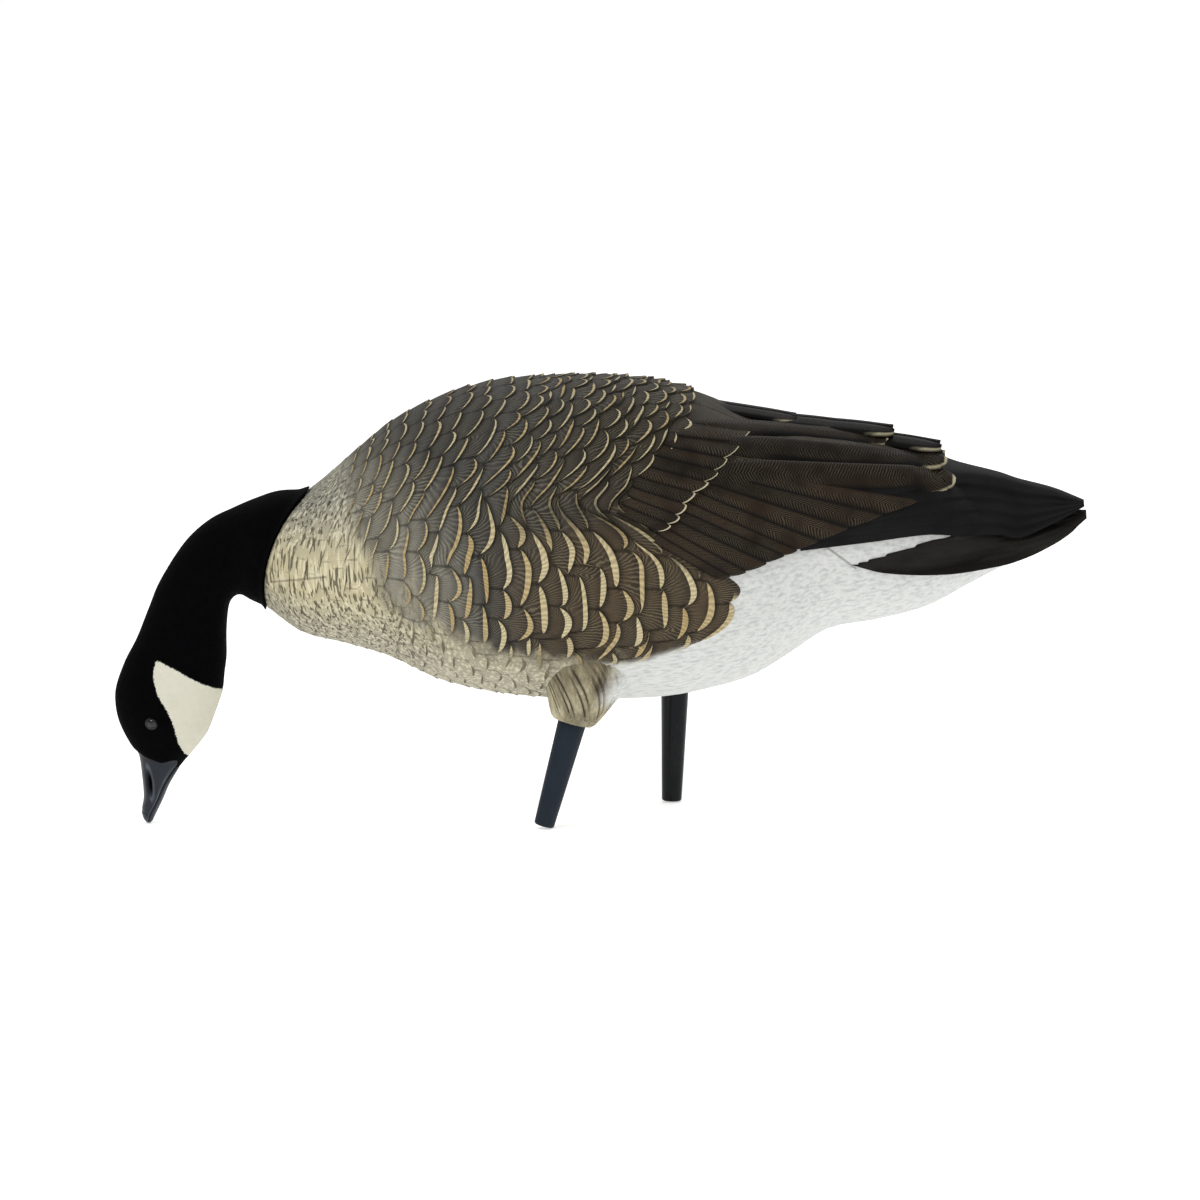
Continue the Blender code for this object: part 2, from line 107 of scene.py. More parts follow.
BILL_STATIONS = (
    (-0.3587, 0.0556, -0.3182, 0.0422, 0.0168),
    (-0.3524, 0.0470, -0.3220, 0.0355, 0.0138),
    (-0.3498, 0.0300, -0.3288, 0.0239, 0.0126),
    (-0.3487, 0.0146, -0.3342, 0.0115, 0.0114),
    (-0.3500, 0.0048, -0.3394, 0.0008, 0.0094),
    (-0.3486, -0.0022, -0.3418, -0.0042, 0.0062),
    (-0.3462, -0.0058, -0.3436, -0.0062, 0.0022),
)
# Folded primaries and tail: x; lower z and depth; upper z and depth; z under the middle.
PRIMARY_STATIONS = (
    (0.151, 0.2150, 0.0905, 0.2500, 0.0780, 0.2200),
    (0.204, 0.2190, 0.0780, 0.2600, 0.0560, 0.2250),
    (0.247, 0.2225, 0.0640, 0.2660, 0.0350, 0.2290),
    (0.275, 0.2200, 0.0545, 0.2655, 0.0150, 0.2268),
    (0.304, 0.2195, 0.0440, 0.2610, 0.0080, 0.2257),
    (0.318, 0.2165, 0.0400, 0.2570, 0.0060, 0.2226),
    (0.346, 0.2270, 0.0260, 0.2500, 0.0050, 0.2304),
    (0.369, 0.2380, 0.0090, 0.2415, 0.0030, 0.2385),
)
# Height under which each fan lies on the body, by position along it.
PRIMARY_COVER = ((0.151, 0.300), (0.369, 0.300))
TAIL_COVER = ((0.190, 0.201), (0.251, 0.2176), (0.2690, 0.2225), (0.2760, 0.2400), (0.3708, 0.2500))
TAIL_STATIONS = (
    (0.190, 0.2010, 0.0780, 0.2150, 0.001, 0.2090),
    (0.214, 0.1940, 0.0765, 0.2180, 0.001, 0.2090),
    (0.262, 0.1910, 0.0620, 0.2230, 0.001, 0.2120),
    (0.304, 0.1960, 0.0490, 0.2300, 0.001, 0.2190),
    (0.319, 0.2000, 0.0450, 0.2320, 0.001, 0.2220),
    (0.337, 0.2070, 0.0370, 0.2340, 0.001, 0.2250),
    (0.357, 0.2190, 0.0240, 0.2345, 0.001, 0.2275),
    (0.3708, 0.2290, 0.0100, 0.2345, 0.001, 0.2305),
)


class Slot(Enum):
    """Material slots of the record."""

    SHELL = "painted_shell"
    FLOCK = "flocked_head"
    PEG = "peg_plastic"


class Side(Enum):
    """Which side of the goose a piece is on, as the sign of its Y."""

    LEFT = -1
    RIGHT = 1


class Chance(Enum):
    """Which chance value of a feather is drawn."""

    REACH = 1.0
    LIFT = 2.0
    TONE = 3.0
    QUILL_TONE = 4.0
    ROW_TONE = 5.0
    BULGE = 6.0
    LEAN = 8.0
    RIM = 9.0


def smooth_curve(table: np.ndarray, at: np.ndarray) -> np.ndarray:
    """Reads a smooth curve through the rows of a table.

    Args:
        table: Rows of a key and its values, with rising keys.
        at: Keys to read at.

    Returns:
        One row of values for each key.
    """
    keys = table[:, 0]
    values = table[:, 1:]
    clipped = np.clip(at, keys[0], keys[-1])
    low = np.clip(np.searchsorted(keys, clipped, side="right") - 1, 0, len(keys) - 2)
    before = np.maximum(low - 1, 0)
    after = np.minimum(low + 2, len(keys) - 1)
    span = (keys[low + 1] - keys[low])[:, None]
    f = (clipped - keys[low])[:, None] / span
    a, b = values[low], values[low + 1]
    start = span * (b - values[before]) / (keys[low + 1] - keys[before])[:, None]
    end = span * (values[after] - a) / (keys[after] - keys[low])[:, None]
    cubic = 2 * (a - b) + start + end
    square = 3 * (b - a) - 2 * start - end
    return ((cubic * f + square) * f + start) * f + a


def read_curve(table: Table, at: np.ndarray | float) -> np.ndarray:
    """Reads the one value of a smooth curve at each key.

    Args:
        table: Rows of a key and its value, with rising keys.
        at: Keys to read at.

    Returns:
        The values, in the keys' shape.
    """
    keys = np.asarray(at, dtype=float)
    return smooth_curve(np.array(table), keys.ravel())[:, 0].reshape(keys.shape)


def together(*values: np.ndarray | float) -> np.ndarray:
    """Puts three values together for each point, spreading those that are the same for all."""
    return np.stack(np.broadcast_arrays(*values), axis=-1)


def keyed(stations: tuple[tuple[float, ...], ...]) -> np.ndarray:
    """Puts each station's mean x in front, as the key to read it by."""
    rows = np.array(stations)
    return np.column_stack([(rows[:, 0] + rows[:, 2]) / 2, rows])


def numbered(stations: tuple[tuple[float, ...], ...]) -> np.ndarray:
    """Puts each station's number in front, as the key to read it by."""
    rows = np.array(stations)
    return np.column_stack([np.arange(len(rows), dtype=float), rows])


def power(value: np.ndarray, exponent: float) -> np.ndarray:
    """Raises the size of each value and keeps its sign."""
    return np.sign(value) * np.abs(value) ** exponent


def ramp(value: np.ndarray | float, low: float, high: float) -> np.ndarray:
    """Rises smoothly between two values.

    Args:
        value: Values to read.
        low: Where the result is 0.
        high: Where the result is 1.

    Returns:
        The results.
    """
    f = np.clip((value - low) / (high - low), 0.0, 1.0)
    return f * f * (3 - 2 * f)


def scatter(first: np.ndarray, second: np.ndarray | float, chance: Chance) -> np.ndarray:
    """Draws a repeatable value for each pair of whole numbers.

    Args:
        first: The first numbers.
        second: The second ones.
        chance: Which chance value to draw.

    Returns:
        Values from 0 to 1.
    """
    a, b, c = CHANCE_TURNS
    wave = np.sin(first * a + second * b + chance.value * c) * CHANCE_GAIN
    return wave - np.floor(wave)


def linear(colour: Rgb) -> tuple[float, float, float, float]:
    """Turns a display colour from 0 to 255 into a scene colour."""
    channels = [c / 255 for c in colour]
    return (*(c / 12.92 if c <= 0.04045 else ((c + 0.055) / 1.055) ** 2.4 for c in channels), 1.0)


def levelled(points: np.ndarray) -> np.ndarray:
    """Moves points of the measured side view to where the level goose stands.

    Args:
        points: Points, with x, y and z last.

    Returns:
        The moved points.
    """
    c, s = math.cos(PITCH), math.sin(PITCH)
    x = points[..., 0] - PITCH_X
    z = points[..., 2]
    moved = points.copy()
    moved[..., 0] = x * c + z * s + PITCH_X + CENTRING
    moved[..., 2] = z * c - x * s
    return moved


def section_points(
    stations: np.ndarray, angles: np.ndarray, roundness: float, forward: np.ndarray
) -> tuple[np.ndarray, np.ndarray]:
    """Finds points on tilted sections. Angle 0 is the back and 90 degrees is the goose's left.

    Args:
        stations: One station for each point.
        angles: One angle for each point.
        roundness: Exponent of the section: 2 is an ellipse.
        forward: How far the section's sides stand ahead of its middle.

    Returns:
        The points and the outward directions.
    """
    top = stations[..., [0, 1]]
    bottom = stations[..., [2, 3]]
    width = stations[..., 4]
    axis = (top - bottom) / 2
    length = np.linalg.norm(axis, axis=-1)
    c = power(np.cos(angles), 2 / roundness)
    s = power(np.sin(angles), 2 / roundness)
    middle = (top + bottom) / 2
    ahead = np.stack([-axis[..., 1], axis[..., 0]], axis=-1) / length[..., None]
    place = middle + axis * c[..., None] + ahead * (forward * s * s)[..., None]
    points = np.stack([place[..., 0], -width * s, place[..., 1]], axis=-1)
    flat = axis / (length**2)[..., None] * c[..., None]
    outward = np.stack([flat[..., 0], -s / width, flat[..., 1]], axis=-1)
    outward /= np.linalg.norm(outward, axis=-1)[..., None]
    return points, outward


@dataclass(frozen=True)
class BodyForm:
    """The smooth form of the body, under its feathers."""

    roundness: float = 2.15
    seat_forward: float = 0.013
    table: np.ndarray = field(default_factory=lambda: keyed(BODY_STATIONS))

    def stations(self, x: np.ndarray) -> np.ndarray:
        """Reads the body's stations at positions along it."""
        return smooth_curve(self.table, x.ravel()).reshape(*x.shape, -1)

    def surface(self, x: np.ndarray, angles: np.ndarray, height: np.ndarray) -> np.ndarray:
        """Finds points on the body's surface, raised along its outward direction.

        Args:
            x: Positions along the body.
            angles: Angles round it from the back.
            height: How far to raise each point.

        Returns:
            The points.
        """
        reach = (x - self.table[0, 0]) / (self.table[3, 0] - self.table[0, 0])
        forward = self.seat_forward * np.maximum(0.0, 1 - reach) ** 2
        points, outward = section_points(self.stations(x), angles, self.roundness, forward)
        return points + outward * height[..., None]

    def half_width(self, x: np.ndarray, z: np.ndarray) -> np.ndarray:
        """Finds the body's half widths at points of its side view.

        Args:
            x: Positions along the body.
            z: Heights.

        Returns:
            The half widths, or zero outside the body.
        """
        stations = self.stations(x)
        back, belly, width = stations[..., 1], stations[..., 3], stations[..., 4]
        level = (z - (back + belly) / 2) / ((back - belly) / 2)
        return width * np.maximum(0.0, 1 - np.abs(level) ** self.roundness) ** (1 / self.roundness)


@dataclass(frozen=True)
class Skin:
    """A closed skin made from a grid that is wrapped round and drawn together at both ends."""

    name: str
    slot: Slot
    material: bpy.types.Material

    @staticmethod
    def closing(ring: np.ndarray) -> np.ndarray:
        """Draws a ring together at its middle, or leaves it as it is where its two halves already meet.

        Args:
            ring: The last ring at one end, with its first point repeated.

        Returns:
            The closed ring.
        """
        if np.allclose(ring[:-1], ring[-2::-1]):
            return ring
        return np.broadcast_to(ring[:-1].mean(axis=0), ring.shape)

    def wrap(
        self, points: np.ndarray, marks: dict[str, np.ndarray], level: bool = True
    ) -> bpy.types.Object:
        """Wraps a grid into the skin.

        Args:
            points: Rows of points from end to end, each row once round with its first point repeated.
            marks: Three values for each point, by attribute name, for the material to read.
            level: Whether the points are in the measured side view.

        Returns:
            The finished piece, riding on the root body.
        """
        placed = levelled(points) if level else points
        ends = [self.closing(placed[i]) for i in (0, -1)]
        rows, columns = placed.shape[:2]
        bm = bmesh.new()
        bmesh.ops.create_grid(bm, x_segments=columns - 1, y_segments=rows + 1, size=0.5)
        layers = {name: bm.verts.layers.float_vector.new(name) for name in marks}
        for vertex in bm.verts:
            i = round((vertex.co.x + 0.5) * (columns - 1))
            j = round((vertex.co.y + 0.5) * (rows + 1)) - 1
            inside = min(max(j, 0), rows - 1)
            for name, layer in layers.items():
                vertex[layer] = marks[name][inside, i]
            if j < 0:
                vertex.co = ends[0][i]
            elif j == rows:
                vertex.co = ends[1][i]
            else:
                vertex.co = placed[j, i]
        bmesh.ops.remove_doubles(bm, verts=bm.verts[:], dist=1e-6)
        bmesh.ops.dissolve_degenerate(bm, edges=bm.edges[:], dist=1e-7)
        bmesh.ops.recalc_face_normals(bm, faces=bm.faces[:])
        return self.finish(bm)

    def finish(self, bm: bmesh.types.BMesh) -> bpy.types.Object:
        """Turns a mesh being built into a finished piece with its material.

        Args:
            bm: The mesh being built, which is freed.

        Returns:
            The piece, riding on the root body.
        """
        mesh = bpy.data.meshes.new(self.name)
        bm.to_mesh(mesh)
        bm.free()
        mesh.shade_smooth()
        mesh.materials.append(self.material)
        piece = bpy.data.objects.new(self.name, mesh)
        bpy.context.scene.collection.objects.link(piece)
        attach(piece, "root")
        LOG.info("%s: %d faces", self.name, len(mesh.polygons))
        return piece


@dataclass(frozen=True)
class Speckle:
    """Marks scattered by noise: how fine they are, where they start and are full, and how strong."""

    scale: float
    detail: float
    stretch: Rgb
    low: float
    high: float
    strength: float = 1.0


class NodeTree:
    """Small steps for drawing a material's nodes."""

    # Noise that makes fine lines waver: its scale, and how far it shifts the lines, in radians.
    LINE_WAVERS = ((60.0, 9.0), (260.0, 6.0))

    def __init__(self, name: str) -> None:
        """Starts a material with its Principled shader.

        Args:
            name: The material's name.
        """
        self.material = bpy.data.materials.new(name)
        self.material.use_nodes = True
        self.nodes = self.material.node_tree.nodes
        self.links = self.material.node_tree.links
        self.shader = self.nodes["Principled BSDF"]

    def add(self, kind: str, **settings: object) -> bpy.types.Node:
        """Adds a node.

        Args:
            kind: The node's type.
            settings: Its properties.

        Returns:
            The node.
        """
        node = self.nodes.new(kind)
        for name, value in settings.items():
            setattr(node, name, value)
        return node

    def put(self, value: object, socket: Socket) -> None:
        """Links a socket to another, or sets it to a value.

        Args:
            value: A socket or a plain value.
            socket: The input that takes it.
        """
        if isinstance(value, Socket):
            self.links.new(value, socket)
        else:
            socket.default_value = value

    def maths(self, operation: str, *values: object, clamp: bool = False) -> Socket:
        """Works out one sum.

        Args:
            operation: The sum's name.
            values: One to three sockets or numbers.
            clamp: Whether to keep the result between 0 and 1.

        Returns:
            The result.
        """
        node = self.add("ShaderNodeMath", operation=operation, use_clamp=clamp)
        for value, socket in zip(values, node.inputs):
            self.put(value, socket)
        return node.outputs[0]

    def times(self, first: object, second: object) -> Socket:
        """Multiplies two values."""
        return self.maths("MULTIPLY", first, second)

    def rest(self, share: object) -> Socket:
        """Finds what a share leaves of 1."""
        return self.maths("SUBTRACT", 1.0, share)

    def step(self, value: object, low: float, high: float) -> Socket:
        """Rises smoothly between two values.

        Args:
            value: The value to read.
            low: Where the result is 0.
            high: Where the result is 1.

        Returns:
            The result.
        """
        node = self.add("ShaderNodeMapRange", interpolation_type="SMOOTHSTEP")
        self.put(value, node.inputs["Value"])
        node.inputs["From Min"].default_value = low
        node.inputs["From Max"].default_value = high
        return node.outputs["Result"]

    def mix(self, amount: object, first: object, second: object, blend: str = "MIX") -> Socket:
        """Mixes two colours.

        Args:
            amount: How much of the second colour to take.
            first: The colour underneath.
            second: The colour on top.
            blend: The way of mixing.

        Returns:
            The mixed colour.
        """
        node = self.add("ShaderNodeMix", data_type="RGBA", blend_type=blend)
        amount_socket, first_socket, second_socket = (node.inputs[i] for i in (0, 6, 7))
        self.put(amount, amount_socket)
        self.put(first, first_socket)
        self.put(second, second_socket)
        return node.outputs[2]

    def marks(self, name: str) -> list[Socket]:
        """Reads one of a piece's attributes.

        Args:
            name: The attribute's name.

        Returns:
            Its three values.
        """
        source = self.add("ShaderNodeAttribute", attribute_name=name)
        split = self.add("ShaderNodeSeparateXYZ")
        self.links.new(source.outputs["Vector"], split.inputs[0])
        return list(split.outputs)

    def noise(self, scale: float, detail: float, stretch: Rgb = EVEN) -> Socket:
        """Draws noise on object coordinates.

        Args:
            scale: How fine the noise is.
            detail: How many finer layers it has.
            stretch: Factors on the three axes. A small one draws the noise out along its axis.

        Returns:
            The noise.
        """
        place = self.add("ShaderNodeTexCoord")
        mapping = self.add("ShaderNodeMapping")
        mapping.inputs["Scale"].default_value = stretch
        self.links.new(place.outputs["Object"], mapping.inputs["Vector"])
        texture = self.add("ShaderNodeTexNoise")
        texture.inputs["Scale"].default_value = scale
        texture.inputs["Detail"].default_value = detail
        self.links.new(mapping.outputs["Vector"], texture.inputs["Vector"])
        return texture.outputs["Fac"]

    def speckled(self, speckle: Speckle) -> Socket:
        """Masks the places of a speckle, without its strength."""
        noise = self.noise(speckle.scale, speckle.detail, speckle.stretch)
        return self.step(noise, speckle.low, speckle.high)

    def lines(self, run: object, pitch: float) -> Socket:
        """Draws fine wavering lines.

        Args:
            run: Distance across the lines.
            pitch: Distance from one line to the next.

        Returns:
            A wave from 0, between the lines, to 1.
        """
        phase = self.maths("MULTIPLY", run, 2 * math.pi / pitch)
        for scale, shift in self.LINE_WAVERS:
            phase = self.maths("MULTIPLY_ADD", self.noise(scale, 2.0), shift, phase)
        return self.maths("MULTIPLY_ADD", self.maths("SINE", phase), 0.5, 0.5)

    def near_segment(
        self, start: Pair, end: Pair, width: float
    ) -> Socket:
        """Masks a fine line between two points of the level side view, on both sides of the goose.

        Args:
            start: x and z of one end.
            end: x and z of the other end.
            width: Half the width of the line.

        Returns:
            A mask that is 1 on the line.
        """
        place = self.add("ShaderNodeTexCoord")
        split = self.add("ShaderNodeSeparateXYZ")
        self.links.new(place.outputs["Object"], split.inputs[0])
        x = self.maths("SUBTRACT", split.outputs[0], start[0])
        z = self.maths("SUBTRACT", split.outputs[2], start[1])
        run = np.array(end) - np.array(start)
        length = float(np.hypot(*run))
        ahead, up = (float(value) / length for value in run)
        along = self.maths("ADD", self.maths("MULTIPLY", x, ahead), self.maths("MULTIPLY", z, up))
        across = self.maths("SUBTRACT", self.maths("MULTIPLY", z, ahead), self.maths("MULTIPLY", x, up))
        beside = self.maths("ABSOLUTE", across)
        from_middle = self.maths("ABSOLUTE", self.maths("SUBTRACT", along, length / 2))
        beyond = self.maths("SUBTRACT", from_middle, length / 2)
        away = self.maths("MAXIMUM", beside, beyond)
        return self.maths("SUBTRACT", 1.0, self.step(away, width * 0.5, width))

    def cover(self, colour: Socket, roughness: object, specular: object) -> None:
        """Gives the shader its look.

        Args:
            colour: Its colour.
            roughness: Its roughness, as a socket or a number.
            specular: Its shine, as a socket or a number.
        """
        looks = {"Base Color": colour, "Roughness": roughness, "Specular IOR Level": specular}
        for name, value in looks.items():
            self.put(value, self.shader.inputs[name])

    def bump(self, height: Socket, distance: float, strength: float) -> None:
        """Roughens the shader's surface.

        Args:
            height: The height to follow.
            distance: How deep a height of 1 is, in metres.
            strength: How much of it shows.
        """
        node = self.add("ShaderNodeBump")
        node.inputs["Strength"].default_value = strength
        node.inputs["Distance"].default_value = distance
        self.links.new(height, node.inputs["Height"])
        self.links.new(node.outputs["Normal"], self.shader.inputs["Normal"])


@dataclass(frozen=True)
class FeatherPaint:
    """Matte paint over moulded feathers: zone colours, pale rims and barbs that fan out to them."""

    name: str = "feather_paint"
    brown: Rgb = (80, 66, 47)
    brown_dark: Rgb = (54, 48, 38)
    slate: Rgb = (74, 73, 69)
    slate_light: Rgb = (150, 146, 132)
    shadow: Rgb = (20, 17, 14)
    buff: Rgb = (196, 186, 152)
    buff_grey: Rgb = (150, 148, 135)
    buff_light: Rgb = (238, 230, 200)
    dash: Rgb = (74, 69, 52)
    white: Rgb = (216, 217, 213)
    white_fibre: Rgb = (176, 180, 179)
    rim: Rgb = (186, 162, 112)
    rim_pale: Rgb = (216, 204, 164)
    grime: Rgb = (70, 64, 54)
    feather_length: float = 0.026
    feather_width: float = 0.032
    # How far behind a feather's root its barbs meet, how far the fan leans, and the tone at which it doesn't.
    fan_root: float = 0.030
    fan_lean: float = 0.9
    upright_tone: float = 0.35
    barb_pitch: float = 0.0023
    tone_depth: float = 0.35
    # Where along a feather the painted shade in the hollow behind its rim starts and is full, and how dark it
    # is.
    shade_behind_rim: Rgb = (0.40, 0.90, 0.62)
    # How far along a feather the one before it shades it, and how darkly.
    shade: Pair = (0.28, 0.70)
    pale_shade_loss: float = 0.6
    patches: Speckle = Speckle(45.0, 2.0, EVEN, 0.28, 0.68)
    groove_power: float = 2.0
    # How dark the painted shade in the grooves between the barbs is.
    groove_shade: float = 0.52
    glint_power: float = 5.0
    glint: float = 0.13
    rim_sharpness: float = 60.0
    # Between which marks of slate the upper breast starts.
    upper_breast: Pair = (1.5, 1.9)
    streaks: Speckle = Speckle(380.0, 1.0, (1.0, 1.0, 0.14), 0.50, 0.62, 0.5)
    dashes: Speckle = Speckle(420.0, 1.0, (1.0, 1.0, 0.12), 0.55, 0.62, 0.74)
    belly_dashes: float = 0.08
    scallop_strength: float = 0.85
    fibres: Speckle = Speckle(420.0, 4.0, (0.3, 1.0, 1.0), 0.40, 0.75, 0.8)
    ragged_edge: Speckle = Speckle(70.0, 3.0, (1.0, 1.0, 0.4), 0.15, 0.85, 0.9)
    notch_depth: float = 0.40
    # Ends of the fine mould lines on the breast and on the rump, in the level side view.
    mould_lines: tuple[tuple[Pair, Pair], ...] = (
        ((-0.2494, 0.1893), (-0.2073, 0.1962)),
        ((0.1724, 0.2140), (0.1934, 0.1968)),
    )
    mould_line_width: float = 0.0010
    mould_line_strength: float = 0.45
    grain_scale: float = 420.0
    grain_strength: float = 0.22
    roughness: float = 0.62
    specular: float = 0.2
    buff_relief_loss: float = 0.6
    barb_relief: float = 0.9
    grain_relief: float = 0.4
    relief_depth: float = 0.0006
    relief_strength: float = 0.8

    def barbs(self, tree: NodeTree) -> Socket:
        """Draws barbs that fan out across each feather from a point behind its root.

        Args:
            tree: The material's nodes.

        Returns:
            A wave from 0, between the barbs, to 1.
        """
        tip, side, tone = tree.marks("feather")
        reach = tree.maths("MULTIPLY_ADD", tip, self.feather_length, self.fan_root)
        off_upright = tree.maths("SUBTRACT", tone, self.upright_tone)
        lean = tree.times(off_upright, self.fan_lean * self.feather_length)
        across = tree.times(side, self.feather_width)
        turned = tree.maths("ADD", across, tree.times(tip, lean))
        ray = tree.maths("DIVIDE", turned, reach)
        return tree.lines(ray, self.barb_pitch / (self.fan_root + self.feather_length / 2))

    def ground(self, tree: NodeTree, barbs: Socket) -> Socket:
        """Colours the feathers without their rims, with painted shade behind each rim, under the feather
        before it and in the grooves between the barbs.

        Args:
            tree: The material's nodes.
            barbs: The wave of the barbs.

        Returns:
            The colour.
        """
        tip, _, tone = tree.marks("feather")
        _, dark, _ = tree.marks("zone")
        _, slate, _ = tree.marks("edge")
        # The dark share holds the darker back and the painted shade in the valley under the mantle.
        colour = tree.mix(dark, linear(self.brown), linear(self.brown_dark))
        colour = tree.mix(slate, colour, linear(self.slate))
        paler = tree.maths("SUBTRACT", slate, 1.0, clamp=True)
        colour = tree.mix(paler, colour, linear(self.slate_light))
        colour = tree.mix(tree.times(tone, self.tone_depth), colour, linear(self.brown_dark))
        # Painted shade: the hollow behind each rim and the shadow of the feather before it, both lighter on
        # the pale front flank.
        start, full, depth = self.shade_behind_rim
        shade_behind_rim = tree.times(tree.step(tip, start, full), depth)
        reach, depth = self.shade
        under = tree.times(tree.rest(tree.step(tip, 0.0, reach)), depth)
        hollow_shade = tree.maths("MAXIMUM", shade_behind_rim, under)
        hollow_shade = tree.times(hollow_shade, tree.maths("MULTIPLY_ADD", paler, -self.pale_shade_loss, 1.0))
        colour = tree.mix(hollow_shade, colour, linear(self.shadow))
        patches = tree.speckled(self.patches)
        # Painted shade in the grooves between the barbs.
        between = tree.maths("POWER", tree.rest(barbs), self.groove_power)
        grooves = tree.times(between, patches)
        colour = tree.mix(tree.times(grooves, self.groove_shade), colour, linear(self.shadow))
        glints = tree.times(tree.maths("POWER", barbs, self.glint_power), patches)
        return tree.mix(tree.times(glints, self.glint), colour, linear(self.rim_pale))

    def crescent(self, tree: NodeTree) -> Socket:
        """Masks the crescent along each feather's tip, which narrows to a point at both ends.

        Args:
            tree: The material's nodes.

        Returns:
            A mask that is 1 on the crescent.
        """
        tip, _, _ = tree.marks("feather")
        rim_width, _, _ = tree.marks("edge")
        inside = tree.maths("SUBTRACT", tree.maths("ADD", tip, rim_width), 1.0)
        return tree.maths("MULTIPLY", inside, self.rim_sharpness, clamp=True)

    def breast(self, tree: NodeTree, crescent: Socket) -> Socket:
        """Colours the breast and belly: cream, greyer at the neck and with painted shade under the belly,
        with pale streaks and dark dashes.

        Args:
            tree: The material's nodes.
            crescent: The mask of the feathers' crescents.

        Returns:
            The colour.
        """
        _, grey_and_shade, _ = tree.marks("zone")
        _, slate, _ = tree.marks("edge")
        upper = tree.step(slate, *self.upper_breast)
        # Greyer at the neck, and painted shade under the belly.
        colour = tree.mix(grey_and_shade, linear(self.buff), linear(self.buff_grey))
        streaks = tree.times(tree.speckled(self.streaks), self.streaks.strength)
        colour = tree.mix(streaks, colour, linear(self.buff_light))
        dash_strength = tree.maths("MULTIPLY_ADD", upper, self.dashes.strength, self.belly_dashes)
        dashes = tree.times(tree.speckled(self.dashes), dash_strength)
        colour = tree.mix(dashes, colour, linear(self.dash))
        return tree.mix(tree.times(crescent, self.scallop_strength), colour, linear(self.dash))

    def plain_white(self, tree: NodeTree) -> Socket:
        """Colours the white belly and rump, with fine pale grey fibres."""
        fibres = tree.times(tree.speckled(self.fibres), self.fibres.strength)
        return tree.mix(fibres, linear(self.white), linear(self.white_fibre))

    def buff_part(self, tree: NodeTree) -> Socket:
        """Finds how buff each place is, with a ragged edge.

        Args:
            tree: The material's nodes.

        Returns:
            A mask that is 1 where all is buff.
        """
        buff, _, _ = tree.marks("zone")
        edge = self.ragged_edge
        blotches = tree.maths("SUBTRACT", tree.noise(edge.scale, edge.detail, edge.stretch), 0.5)
        return tree.step(tree.maths("MULTIPLY_ADD", blotches, edge.strength, buff), edge.low, edge.high)

    def build(self) -> bpy.types.Material:
        """Draws the material.

        Returns:
            The material, which reads the marks feather (tip, side, tone), zone (buff, dark with painted
            shade, white) and edge (rim width, slate, rim strength).
        """
        tree = NodeTree(self.name)
        _, _, tone = tree.marks("feather")
        _, _, white = tree.marks("zone")
        _, _, strength = tree.marks("edge")
        buff = self.buff_part(tree)
        barbs = self.barbs(tree)
        grain = tree.noise(self.grain_scale, 4.0)
        crescent = self.crescent(tree)
        rim = tree.mix(tone, linear(self.rim), linear(self.rim_pale))
        notches = tree.times(tree.rest(barbs), self.notch_depth)
        rim = tree.mix(notches, rim, linear(self.brown))
        colour = tree.mix(tree.times(crescent, strength), self.ground(tree, barbs), rim)
        colour = tree.mix(buff, colour, self.breast(tree, crescent))
        colour = tree.mix(white, colour, self.plain_white(tree))
        lines = [tree.near_segment(start, end, self.mould_line_width) for start, end in self.mould_lines]
        mould_line = tree.maths("MAXIMUM", *lines)
        colour = tree.mix(tree.times(mould_line, self.mould_line_strength), colour, linear(self.grime))
        colour = tree.mix(tree.times(grain, self.grain_strength), colour, linear(self.grime), "MULTIPLY")
        tree.cover(colour, self.roughness, self.specular)
        smooth_part = tree.maths("MAXIMUM", white, tree.times(buff, self.buff_relief_loss))
        carved = tree.times(barbs, tree.rest(smooth_part))
        carved = tree.times(carved, self.barb_relief)
        relief = tree.maths("MULTIPLY_ADD", grain, self.grain_relief, carved)
        tree.bump(tree.maths("SUBTRACT", relief, mould_line), self.relief_depth, self.relief_strength)
        return tree.material


